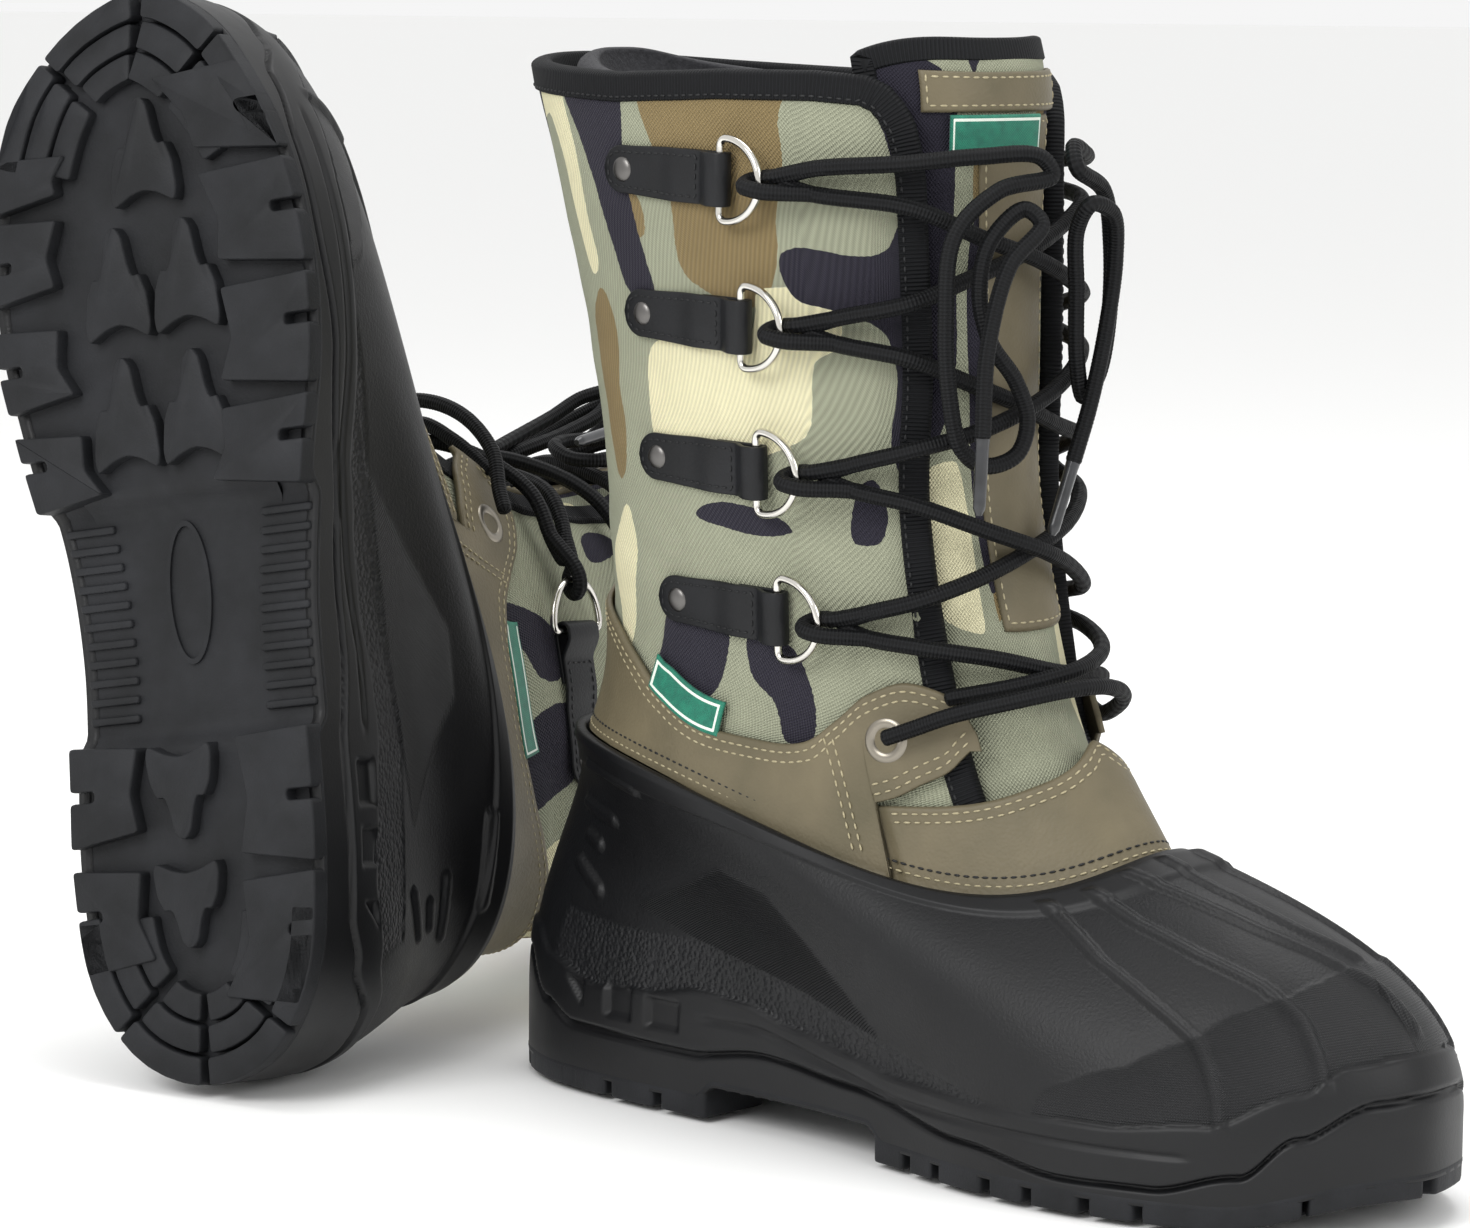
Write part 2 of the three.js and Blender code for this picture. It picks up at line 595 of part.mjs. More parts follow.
const medialRoute = [
  [159, -42, 116], [166, -38.5, 119], [178, -34, 124], [190, -23, 128], [197, -9, 130.5], [198.5, 4, 130.5],
  [193, 19, 127], [181, 32, 121], [168, 39, 116.5], [160, 42.5, 119.5], [166, 39, 124.5], [177, 29, 129],
  [183.5, 15, 131.5], [186, 0, 133.5], [180, -18, 138], [166, -35.5, 141.5], [150, -41, 143.5],
  [144.5, -42.5, 146.5], [151, -41.5, 149.5], [165, -34.5, 154], [173, -18, 160], [175.4, 0, 166.5],
  [173, 18, 173], [162, 35, 180],
  [146, 43.5, 184], [139.5, 45.5, 187], [146, 43.5, 190], [161, 35.5, 195], [167, 18, 200], [169.4, 0, 206.5],
  [167, -18, 213], [161, -35.5, 220], [142, -46.5, 224], [135.5, -49, 227], [142, -46.5, 230],
  [161, -35.5, 235], [166, -18, 241], [168.7, 0, 247], [166, 18, 253], [160, 36.5, 261], [135, 49.5, 264.5],
  [128.5, 52, 267.5], [135, 50, 270.5], [160, 37, 273], [173, 22, 275], [182, 7, 277], [185, 5, 272],
  [182, 20, 265], [179, 27, 250], [178, 28, 230], [178, 24, 214], [178, 18, 208], [179.5, 13, 218],
  [180.5, 11, 238], [183, 8, 255], [188, 8, 262], [188, 17, 259], [185, 22, 247], [184, 20, 228],
  [183, 15, 207], [182, 9, 190],
];
const laceSteps = 60;
const agletLength = 21;
const agletRadius = 1.9;

function laceCurve(route) {
  return new THREE.CatmullRomCurve3(route.map((point) => new THREE.Vector3(...point)), false, 'centripetal');
}

function tubeGeometry(path, radius, steps, sides) {
  const section = new THREE.Shape();
  for (let i = 0; i < sides; i += 1) {
    const angle = 2 * Math.PI * i / sides;
    const corner = [radius * Math.cos(angle), radius * Math.sin(angle)];
    if (i === 0) section.moveTo(...corner);
    else section.lineTo(...corner);
  }
  section.closePath();
  return new THREE.ExtrudeGeometry(section, { steps, bevelEnabled: false, extrudePath: path });
}

function addLace(boot, prefix, lean) {
  for (const [side, route] of [['lateral', lateralRoute], ['medial', medialRoute]]) {
    const leaning = route.map(([x, y, z]) => [leant(x, z, lean), y, z]);
    const path = laceCurve(leaning);
    addMesh(boot, `${prefix}_lacing_${side}`, tubeGeometry(path, laceRadius, laceSteps, 8), materials.lace);
    const end = path.getPoint(1);
    const down = path.getTangent(1);
    const aglet = new THREE.LineCurve3(
      end.clone().addScaledVector(down, clearance), end.clone().addScaledVector(down, agletLength));
    addMesh(boot, `${prefix}_aglet_${side}`, tubeGeometry(aglet, agletRadius, 1, 8), materials.lace);
  }
}

// The right boot stands. The left one is mirrored, turned onto its back and leant on its shaft.
function leftFrame() {
  const [roll, pitch, yaw] = leftAngles.map(THREE.MathUtils.degToRad);
  const turn = new THREE.Matrix4().makeRotationZ(yaw)
    .multiply(new THREE.Matrix4().makeRotationY(pitch))
    .multiply(new THREE.Matrix4().makeRotationX(roll));
  const toesUp = new THREE.Matrix4().set(0, 1, 0, 0, 0, 0, 1, 0, 1, 0, 0, 0, 0, 0, 0, 1);
  const mirror = new THREE.Matrix4().makeScale(1, -1, 1);
  return turn.multiply(toesUp).multiply(mirror).premultiply(new THREE.Matrix4().makeTranslation(...leftPlace));
}

const pair = new THREE.Group();
const right = makeBoot('right', 0);
const left = makeBoot('left', leftLean);
leftFrame().decompose(left.position, left.quaternion, left.scale);
pair.add(right, left);

// The origin is on the ground under the middle of the pair, laces not counted.
pair.updateMatrixWorld(true);
const extent = new THREE.Box3();
pair.traverse((mesh) => {
  if (mesh.isMesh && mesh.material !== materials.lace) extent.expandByObject(mesh, true);
});
const middle = extent.getCenter(new THREE.Vector3());
pair.position.set(-middle.x, -middle.y, 0);
export default pair;
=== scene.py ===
import math
import bpy
import numpy as np
from mathutils import Matrix, Vector


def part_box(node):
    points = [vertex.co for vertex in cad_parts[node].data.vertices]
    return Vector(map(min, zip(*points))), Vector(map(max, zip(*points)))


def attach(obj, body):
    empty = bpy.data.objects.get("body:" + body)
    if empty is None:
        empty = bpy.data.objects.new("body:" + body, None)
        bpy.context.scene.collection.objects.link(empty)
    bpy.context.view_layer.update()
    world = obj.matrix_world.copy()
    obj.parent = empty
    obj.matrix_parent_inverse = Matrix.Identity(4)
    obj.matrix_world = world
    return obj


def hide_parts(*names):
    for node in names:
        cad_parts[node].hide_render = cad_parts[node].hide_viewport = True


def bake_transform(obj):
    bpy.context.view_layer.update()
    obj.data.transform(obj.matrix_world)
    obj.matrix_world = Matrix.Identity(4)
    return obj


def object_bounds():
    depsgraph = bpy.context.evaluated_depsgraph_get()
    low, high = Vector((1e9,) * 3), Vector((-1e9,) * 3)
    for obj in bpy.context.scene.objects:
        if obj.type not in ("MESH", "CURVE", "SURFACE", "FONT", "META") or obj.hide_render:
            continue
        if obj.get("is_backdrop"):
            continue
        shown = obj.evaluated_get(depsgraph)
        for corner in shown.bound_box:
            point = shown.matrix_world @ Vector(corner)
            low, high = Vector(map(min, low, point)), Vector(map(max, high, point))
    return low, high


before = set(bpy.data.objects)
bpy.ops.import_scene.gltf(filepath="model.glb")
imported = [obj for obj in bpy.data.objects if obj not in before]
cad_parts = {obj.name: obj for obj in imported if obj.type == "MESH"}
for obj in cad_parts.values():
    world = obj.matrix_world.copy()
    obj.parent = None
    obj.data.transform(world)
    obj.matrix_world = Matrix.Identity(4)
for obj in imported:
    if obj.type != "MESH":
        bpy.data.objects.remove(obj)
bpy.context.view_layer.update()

scene = bpy.context.scene
scene.view_settings.view_transform = "Standard"

# The boot's form, in millimetres of the right boot's own frame: x to the toe, y to the inner side, z up
boot = {
    "soleLength": 319.0, "ballWidth": 114.0, "heelEnd": -5.0, "shaftHeight": 296.0, "tongueHeight": 312.0,
    "leanStart": 130.0, "lowestRow": 146.0, "highestRow": 267.0, "rowBars": [123, 118, 114, 107],
    "leftAngles": [-6.45, -9.57, 14.22], "leftPlace": [-25.15, -128.59, 8.6], "leftLean": -31.5,
}
depths = {"shell": 3.0, "band": 3.9, "bandThickness": 1.8, "shaft": 6.6, "shaftThickness": 4.6,
          "tongue": 11.5, "tongueThickness": 4.4, "liner": 18.3, "linerThickness": 7.0, "linerFoot": 5.0}
soleOutline = np.array([
    [1, 0.03], [0.975, 0.24], [0.918, 0.38], [0.82, 0.485], [0.705, 0.51], [0.6, 0.455], [0.49, 0.375],
    [0.39, 0.345], [0.29, 0.355], [0.19, 0.365], [0.09, 0.325], [0.024, 0.19], [0, -0.01], [0.024, -0.21],
    [0.09, -0.335], [0.19, -0.38], [0.31, -0.385], [0.43, -0.385], [0.545, -0.425], [0.66, -0.48],
    [0.77, -0.47], [0.87, -0.39], [0.945, -0.245], [0.987, -0.09]])


def splineThrough(points, shares, closed=False):
    # centripetal curve
    points = np.asarray(points, float)
    if closed:
        spans = len(points)
        padded = np.concatenate([points[-1:], points, points[:2]])
    else:
        spans = len(points) - 1
        padded = np.concatenate([2 * points[:1] - points[1:2], points, 2 * points[-1:] - points[-2:-1]])
    at = np.asarray(shares, float) * spans
    span = np.clip(np.floor(at).astype(int), 0, spans - 1)
    w = (at - span).reshape((-1,) + (1,) * (points.ndim - 1))
    p0, p1, p2, p3 = (padded[span + k] for k in range(4))
    d0, d1, d2 = (np.maximum(np.sqrt(np.linalg.norm(b - a, axis=-1, keepdims=True)), 1e-6)
                  for a, b in ((p0, p1), (p1, p2), (p2, p3)))
    m1 = ((p1 - p0) / d0 - (p2 - p0) / (d0 + d1) + (p2 - p1) / d1) * d1
    m2 = ((p2 - p1) / d1 - (p3 - p1) / (d1 + d2) + (p3 - p2) / d2) * d1
    return (p1 * (2 * w**3 - 3 * w**2 + 1) + m1 * (w**3 - 2 * w**2 + w)
            + p2 * (3 * w**2 - 2 * w**3) + m2 * (w**3 - w**2))


def smooth(low, high, value):
    t = np.clip((np.asarray(value, float) - low) / (high - low), 0, 1)
    return t * t * (3 - 2 * t)


def between(stations, share):
    at, value = np.array(stations, float).T
    share = np.clip(share, at[0], at[-1])
    i = np.clip(np.searchsorted(at, share, side="right") - 1, 0, len(at) - 2)
    t = (share - at[i]) / np.maximum(at[i + 1] - at[i], 1e-9)
    return value[i] + (value[i + 1] - value[i]) * t * t * (3 - 2 * t)


featherStations = [[0, 25], [0.34, 25], [0.58, 17], [0.86, 17], [1, 25]]


def alongSole(x):
    return (x - boot["heelEnd"]) / boot["soleLength"]


def featherHeight(x):
    return between(featherStations, alongSole(x))


outlineScale = np.array([boot["soleLength"], boot["ballWidth"]])
outlineDense = splineThrough(soleOutline * outlineScale + [boot["heelEnd"], 0], np.linspace(0, 1, 4801), True)
outlineRun = np.concatenate([[0], np.cumsum(np.linalg.norm(np.diff(outlineDense, axis=0), axis=1))])
outlineShare = outlineRun / outlineRun[-1]
outlineWay = np.gradient(outlineDense, axis=0)
outlineWay[[0, -1]] = outlineDense[1] - outlineDense[-2]
outlineWay /= np.linalg.norm(outlineWay, axis=1, keepdims=True)


def outlineAt(u, grow=0.0):
    # Plan points of the sole's outline, moved outwards.
    share = np.mod(u, 1)
    x, y, tx, ty = (np.interp(share, outlineShare, column) for column in (*outlineDense.T, *outlineWay.T))
    return x + grow * ty, y - grow * tx


rise = boot["highestRow"] - boot["lowestRow"]
sections = [
    (15, 105, 227, 89, 54, 2.4, 0.34, 36, 0.5), (19, 122, 205, 116, 51, 2.25, 0.24, 14, 0.45),
    (21, 142, 191, 139, 51, 2.3, 0.14, 0, 0.32), (20, 146 + 0.28 * rise, 179, None, 54, 2.3, 0.08, 0, 0.14),
    (14, 146 + 0.58 * rise, 177, None, 56, 2.3, 0.04, 0, 0), (-1, 267, 176, None, 58, 2.3, 0.02, 0, 0),
    (-12, 296, 176, None, 58, 2.3, 0, 0, 0), (-16, 318, 170, None, 58, 2.3, 0, 0, 0)]


def sectionPoints(section, u):
    back, backZ, front, frontZ, half, square, taper, sag, spread = section
    frontZ = backZ if frontZ is None else frontZ
    angle = 2 * math.pi * u + spread * np.sin(2 * math.pi * u)
    cos, sin = np.cos(angle), np.sin(angle)

    def reach(value):
        return np.sign(value) * np.abs(value) ** (2 / square)
    forward = (1 + reach(cos)) / 2
    return np.stack([back + (front - back) * forward, half * reach(sin) * (1 - taper * forward**2),
                     backZ + (frontZ - backZ) * forward - sag * sin**2 * forward**2], -1)


def leant(points, lean):
    out = np.array(points, float)
    lift = np.maximum(0, out[..., 2] - boot["leanStart"]) / (boot["shaftHeight"] - boot["leanStart"])
    out[..., 0] -= lean * lift**2
    return out


skinColumns, shellRows, upperRows = 720, 100, 280


def makeSkin(lean):
    u = np.arange(skinColumns) / skinColumns
    x, y = outlineAt(u)
    foot = np.stack([x, y, featherHeight(x)], -1)
    rings = np.stack([sectionPoints(s, u) for s in sections])
    rim = rings[0]
    forward = (1 + np.cos(2 * math.pi * u)) / 2
    up = rim[:, 2] - foot[:, 2]
    low = foot + np.stack([2 * forward**6, 0 * u, 0 * u], -1)
    low[:, 2] = foot[:, 2] + up * (0.4 + 0.12 * forward**4)
    outward = foot - rim
    high = rim + outward * (0.28 + 0.3 * forward**3)[:, None]
    high[:, 2] = rim[:, 2] - up * (0.36 - 0.15 * forward**2)
    v = np.linspace(0, 1, shellRows + 1)[:, None, None]
    shell = foot * (1 - v)**3 + low * 3 * v * (1 - v)**2 + high * 3 * v**2 * (1 - v) + rim * v**3
    upper = splineThrough(leant(rings, lean), np.linspace(0, 1, upperRows + 1))
    table = np.concatenate([shell, upper[1:]])
    around = np.roll(table, -1, 1) - np.roll(table, 1, 1)
    normal = np.cross(around, np.gradient(table, axis=0))
    normal /= np.linalg.norm(normal, axis=-1, keepdims=True)
    return {"points": table, "normals": normal, "lean": lean}


def onSkin(skin, u, v):
    u, v = np.broadcast_arrays(np.asarray(u, float), np.asarray(v, float))
    column = np.mod(u, 1) * skinColumns
    row = np.where(v < 1, v * shellRows, shellRows + (v - 1) * upperRows)
    row = np.clip(row, 0, shellRows + upperRows - 1e-6)
    i, j = np.floor(row).astype(int), np.floor(column).astype(int) % skinColumns
    a, b = (row - np.floor(row))[..., None], (column - np.floor(column))[..., None]
    k = (j + 1) % skinColumns
    out = []
    for table in (skin["points"], skin["normals"]):
        out.append((table[i, j] * (1 - b) + table[i, k] * b) * (1 - a)
                   + (table[i + 1, j] * (1 - b) + table[i + 1, k] * b) * a)
    return out


def under(skin, u, v, depth):
    point, normal = onSkin(skin, u, v)
    return point - normal * np.asarray(depth, float)[..., None]


upright = makeSkin(0)


def locate(x, z, side):
    # Skin parameters of points at x and z of the upright boot; side is +1 inner, -1 outer.
    x, z = np.asarray(x, float), np.asarray(z, float)
    u = np.full(x.shape, 0.2 if side > 0 else 0.8)
    v = np.full(x.shape, 1.3)
    step = 1e-3
    for _ in range(60):
        here = onSkin(upright, u, v)[0]
        du = (onSkin(upright, u + step, v)[0] - here) / step
        dv = (onSkin(upright, u, v + step)[0] - here) / step
        det = du[..., 0] * dv[..., 2] - du[..., 2] * dv[..., 0]
        gx, gz = x - here[..., 0], z - here[..., 2]
        u = u + np.clip((gx * dv[..., 2] - gz * dv[..., 0]) / det, -0.03, 0.03)
        v = np.clip(v + np.clip((du[..., 0] * gz - du[..., 2] * gx) / det, -0.06, 0.06), 0.05, 1.99)
    return u, v


def heightOf(z, u):
    # The skin level at height z of the upright boot.
    u = np.asarray(u, float)
    levels = np.linspace(0.05, 2, 781)
    heights = onSkin(upright, u[..., None], levels)[0][..., 2]
    flat = heights.reshape(-1, len(levels))
    target = np.broadcast_to(np.asarray(z, float), u.shape).reshape(-1)
    return np.array([np.interp(t, row, levels) for t, row in zip(target, flat)]).reshape(u.shape)


def turnAbout(axis, degrees):
    return np.array(Matrix.Rotation(math.radians(degrees), 3, axis))


def bootPlace(side):
    # Rows of the local frame's axes and its origin, from millimetres to metres of the shared frame.
    roll, pitch, yaw = boot["leftAngles"]
    toesUp = np.array([[0, 1, 0], [0, 0, 1], [1, 0, 0]])
    if side == "right":
        turn, place = np.eye(3), np.zeros(3)
    else:
        turn = turnAbout("Z", yaw) @ turnAbout("Y", pitch) @ turnAbout("X", roll) @ toesUp
        turn = turn @ np.diag([1, -1, 1])
        place = np.array(boot["leftPlace"])
    return turn, place


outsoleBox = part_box("right_outsole")
farToe, farSide = outlineAt(np.linspace(0, 1, 37)[:-1], 1.2)
pairShift = np.array([outsoleBox[0].x * 1000 - farToe.min(), outsoleBox[0].y * 1000 - farSide.min(), 0])

boots = []
for side in ("right", "left"):
    turn, place = bootPlace(side)
    boots.append({"side": side, "body": side + "_boot", "turn": turn, "place": place + pairShift,
                  "skin": upright if side == "right" else makeSkin(boot["leftLean"]),
                  "lean": 0.0 if side == "right" else boot["leftLean"], "flip": side == "left"})


def placed(pair, points):
    return (np.asarray(points, float) @ pair["turn"].T + pair["place"]) / 1000


# Camera
camera = bpy.data.objects.new("camera", bpy.data.cameras.new("camera"))
scene.collection.objects.link(camera)
scene.camera = camera
cameraView = {"position": (1.0687, -1.1399, 0.3356), "target": (0.09914, -0.14424, 0.15803), "roll": 0.63,
              "lens": 131.43}
camera.location = cameraView["position"]
aim = (Vector(cameraView["target"]) - camera.location).to_track_quat("-Z", "Y")
camera.rotation_mode = "QUATERNION"
camera.rotation_quaternion = aim @ Matrix.Rotation(math.radians(cameraView["roll"]), 3, "Z").to_quaternion()
camera.data.lens = cameraView["lens"]
camera.data.clip_end = 20

# Meshes
def makePiece(name, points, quads=(), tris=(), uv=None, flip=False, sharp=None, fields=None, ngons=(),
              wrap=None):
    # An object from points in metres. uv is one pair per point, fields are float attributes of the points.
    mesh = bpy.data.meshes.new(name)
    quads = np.asarray(quads, int).reshape(-1, 4)
    tris = np.asarray(tris, int).reshape(-1, 3)
    if flip:
        quads, tris = quads[:, ::-1], tris[:, ::-1]
        ngons = [list(reversed(face)) for face in ngons]
    corners = np.concatenate([quads.ravel(), tris.ravel(), *[np.array(face) for face in ngons]])
    corners = corners.astype(np.int32)
    sizes = [4] * len(quads) + [3] * len(tris) + [len(face) for face in ngons]
    mesh.vertices.add(len(points))
    mesh.vertices.foreach_set("co", np.asarray(points, np.float32).ravel())
    mesh.loops.add(len(corners))
    mesh.loops.foreach_set("vertex_index", corners)
    mesh.polygons.add(len(sizes))
    mesh.polygons.foreach_set("loop_start", np.concatenate([[0], np.cumsum(sizes)[:-1]]).astype(np.int32))
    mesh.update(calc_edges=True)
    mesh.shade_smooth()
    if uv is not None:
        layer = mesh.uv_layers.new(name="surface")
        spread = np.asarray(uv, float)[corners]
        if wrap:
            axis, period = wrap
            turns = spread[:len(quads) * 4, axis].reshape(-1, 4)
            turns += period * (turns.max(1, keepdims=True) - turns > period / 2)
            spread[:len(quads) * 4, axis] = turns.ravel()
        layer.data.foreach_set("uv", spread.astype(np.float32).ravel())
    for field, values in (fields or {}).items():
        attribute = mesh.attributes.new(field, "FLOAT", "POINT")
        attribute.data.foreach_set("value", np.asarray(values, np.float32).ravel())
    if ngons:
        smoothness = np.ones(len(sizes), bool)
        smoothness[-len(ngons):] = False
        mesh.polygons.foreach_set("use_smooth", smoothness)
    mesh.validate()
    if sharp is not None:
        mesh.set_sharp_from_angle(angle=math.radians(sharp))
    piece = bpy.data.objects.new(name, mesh)
    scene.collection.objects.link(piece)
    return piece


def gridQuads(rows, columns, start=0, wrap=False):
    i, j = np.meshgrid(np.arange(rows - 1), np.arange(columns if wrap else columns - 1), indexing="ij")
    a, b = i * columns + j, i * columns + (j + 1) % columns
    return np.stack([a, b, b + columns, a + columns], -1).reshape(-1, 4) + start


def runLengths(grid, axis):
    # Millimetres run along one axis of a grid of points.
    step = np.linalg.norm(np.diff(grid, axis=axis), axis=-1)
    first = np.zeros_like(np.take(step, [0], axis))
    return np.concatenate([first, np.cumsum(step, axis)], axis)


def closedRings(rings, closeStart=True, closeEnd=True):
    # Quads through rings of equal length, the ends closed by strips from side to side.
    rings = np.asarray(rings)
    rows, count = rings.shape[:2]
    quads = [gridQuads(rows, count, wrap=True)]
    for wanted, row, back in ((closeStart, 0, True), (closeEnd, rows - 1, False)):
        if wanted:
            i = np.arange(count // 2)
            strip = np.stack([i, i + 1, (count - 1 - i) % count, (count - i) % count], -1) + row * count
            quads.append(strip[:, ::-1] if back else strip)
    return rings.reshape(-1, 3), np.concatenate(quads)


def finish(piece, body, material, nodes=()):
    piece.data.materials.clear()
    piece.data.materials.append(material)
    if nodes:
        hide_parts(*nodes)
    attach(piece, body)
    return piece


# Materials
def colour(hexValue, alpha=1.0):
    parts = [int(hexValue[i:i + 2], 16) / 255 for i in (1, 3, 5)]
    return tuple(c / 12.92 if c <= 0.04045 else ((c + 0.055) / 1.055) ** 2.4 for c in parts) + (alpha,)


def addNode(tree, kind, inputs=None, **settings):
    node = tree.nodes.new(kind)
    for key, value in settings.items():
        setattr(node, key, value)
    for key, value in (inputs or {}).items():
        if isinstance(value, bpy.types.NodeSocket):
            tree.links.new(value, node.inputs[key])
        else:
            node.inputs[key].default_value = value
    return node


def math2(tree, operation, a, b=0.0, c=0.0):
    return addNode(tree, "ShaderNodeMath", {0: a, 1: b, 2: c}, operation=operation).outputs[0]


def mixColour(tree, share, a, b, blend="MIX"):
    mix = addNode(tree, "ShaderNodeMix", {0: share, 6: a, 7: b}, data_type="RGBA", blend_type=blend)
    return mix.outputs[2]


def newMaterial(name, roughness=0.5, metallic=0.0, ior=1.5, sheen=0.0, coat=0.0, gloss=0.5):
    material = bpy.data.materials.new(name)
    material.use_nodes = True
    tree = material.node_tree
    shader = tree.nodes["Principled BSDF"]
    shader.inputs["Roughness"].default_value = roughness
    shader.inputs["Metallic"].default_value = metallic
    shader.inputs["IOR"].default_value = ior
    shader.inputs["Sheen Weight"].default_value = sheen
    shader.inputs["Coat Weight"].default_value = coat
    shader.inputs["Specular IOR Level"].default_value = gloss
    return material, tree, shader


def objectNoise(tree, size, detail=2.0, roughness=0.5, vector=None):
    # Noise whose features are about size millimetres.
    where = vector or addNode(tree, "ShaderNodeTexCoord").outputs["Object"]
    noise = addNode(tree, "ShaderNodeTexNoise", {"Vector": where, "Scale": 1000 / size, "Detail": detail,
                                                 "Roughness": roughness})
    return noise.outputs["Fac"]


def toneRamp(tree, share, stops):
    ramp = addNode(tree, "ShaderNodeValToRGB", {"Fac": share})
    for _ in range(len(stops) - 2):
        ramp.color_ramp.elements.new(0.5)
    for element, (at, tone) in zip(ramp.color_ramp.elements, stops):
        element.position = at
        element.color = colour(tone)
    return ramp.outputs["Color"]


def bumped(tree, shader, height, distance, strength=1.0):
    bump = addNode(tree, "ShaderNodeBump",
                   {"Height": height, "Distance": distance / 1000, "Strength": strength})
    tree.links.new(bump.outputs["Normal"], shader.inputs["Normal"])


def field(tree, name):
    return addNode(tree, "ShaderNodeAttribute", attribute_name=name).outputs["Fac"]


def surfaceWave(tree, pitchAlong, pitchAcross, phase=0.0):
    # Two crossing sets of threads on the piece's own millimetre map, each from 0 to 1.
    surface = addNode(tree, "ShaderNodeUVMap", uv_map="surface").outputs[0]
    where = addNode(tree, "ShaderNodeSeparateXYZ", {0: surface})
    waves = []
    for axis, pitch in ((0, pitchAlong), (1, pitchAcross)):
        turned = math2(tree, "MULTIPLY", where.outputs[axis], 2 * math.pi / pitch)
        waves.append(math2(tree, "SINE", math2(tree, "ADD", turned, phase)))
    return waves


# Moulded rubber of the shell: matt black with a fine leather grain, a sandy band, a knurled toe and
# a hatched quarter
def mouldedRubber():
    look = {"tone": "#08080a", "worn": "#0f1012", "dusty": "#1d1d1f",
            "grain": 0.9, "sand": 1.5, "knurl": 1.5, "hatch": 1.35}
    material, tree, shader = newMaterial("mouldedRubber", roughness=0.5, gloss=0.34)
    grain = objectNoise(tree, look["grain"], 3, 0.6)
    broad = objectNoise(tree, 34, 2)
    dusty = math2(tree, "MULTIPLY_ADD", math2(tree, "ADD", field(tree, "knurl"), field(tree, "sand")), 0.3,
                  math2(tree, "MULTIPLY", broad, 0.8))
    tree.links.new(toneRamp(tree, dusty, [(0.25, look["tone"]), (0.6, look["worn"]), (0.95, look["dusty"])]),
                   shader.inputs["Base Color"])
    where = addNode(tree, "ShaderNodeTexCoord").outputs["Object"]
    cells = addNode(tree, "ShaderNodeTexVoronoi", {"Vector": where, "Scale": 1000 / look["sand"]},
                    feature="F1").outputs["Distance"]
    sandy = math2(tree, "MULTIPLY", math2(tree, "SUBTRACT", 0.8, cells), field(tree, "sand"))
    a, b = surfaceWave(tree, look["knurl"], look["knurl"])
    diamonds = math2(tree, "ABSOLUTE", math2(tree, "MULTIPLY", a, b))
    knurl = math2(tree, "MULTIPLY", diamonds, field(tree, "knurl"))
    c, _ = surfaceWave(tree, look["hatch"], look["hatch"])
    hatch = math2(tree, "MULTIPLY", c, math2(tree, "MULTIPLY", field(tree, "hatch"), 0.45))
    calm = math2(tree, "SUBTRACT", 0.42, math2(tree, "MULTIPLY", field(tree, "plain"), 0.3))
    plain = math2(tree, "MULTIPLY", grain, calm)
    coarse = math2(tree, "ADD", math2(tree, "MULTIPLY", sandy, 1.3), math2(tree, "MULTIPLY", knurl, 0.6))
    height = math2(tree, "ADD", coarse, math2(tree, "ADD", hatch, plain))
    bumped(tree, shader, height, 0.35)
    rough = math2(tree, "MULTIPLY_ADD", objectNoise(tree, 14, 3), 0.14, 0.4)
    tree.links.new(rough, shader.inputs["Roughness"])
    return material


# Vulcanised sole rubber: a little greyer than the shell, dusty on its wearing faces
def soleRubber():
    material, tree, shader = newMaterial("soleRubber", roughness=0.6, gloss=0.25)
    dust = objectNoise(tree, 22, 4, 0.6)
    tree.links.new(toneRamp(tree, dust, [(0.35, "#151618"), (0.7, "#212225")]), shader.inputs["Base Color"])
    bumped(tree, shader, objectNoise(tree, 0.8, 3, 0.6), 0.12)
    return material


# Coated split leather: satin olive khaki with a fine pore and soft shade changes
def coatedLeather():
    material, tree, shader = newMaterial("coatedLeather", roughness=0.5, gloss=0.3)
    shade = objectNoise(tree, 26, 3, 0.55)
    tree.links.new(toneRamp(tree, shade, [(0.25, "#595340"), (0.5, "#655d49"), (0.78, "#706751")]),
                   shader.inputs["Base Color"])
    where = addNode(tree, "ShaderNodeTexCoord").outputs["Object"]
    pores = addNode(tree, "ShaderNodeTexVoronoi", {"Vector": where, "Scale": 1000 / 0.9},
                    feature="SMOOTH_F1").outputs["Distance"]
    height = math2(tree, "ADD", pores, math2(tree, "MULTIPLY", objectNoise(tree, 5, 2), 0.8))
    bumped(tree, shader, height, 0.1)
    return material


# Strap leather: black, softly shiny, fine grain
def strapLeather():
    material, tree, shader = newMaterial("strapLeather", roughness=0.46, gloss=0.3)
    tree.links.new(toneRamp(tree, objectNoise(tree, 12, 3), [(0.3, "#0e0f11"), (0.75, "#16171a")]),
                   shader.inputs["Base Color"])
    where = addNode(tree, "ShaderNodeTexCoord").outputs["Object"]
    pores = addNode(tree, "ShaderNodeTexVoronoi", {"Vector": where, "Scale": 1000 / 0.7},
                    feature="SMOOTH_F1").outputs["Distance"]
    bumped(tree, shader, pores, 0.07)
    return material


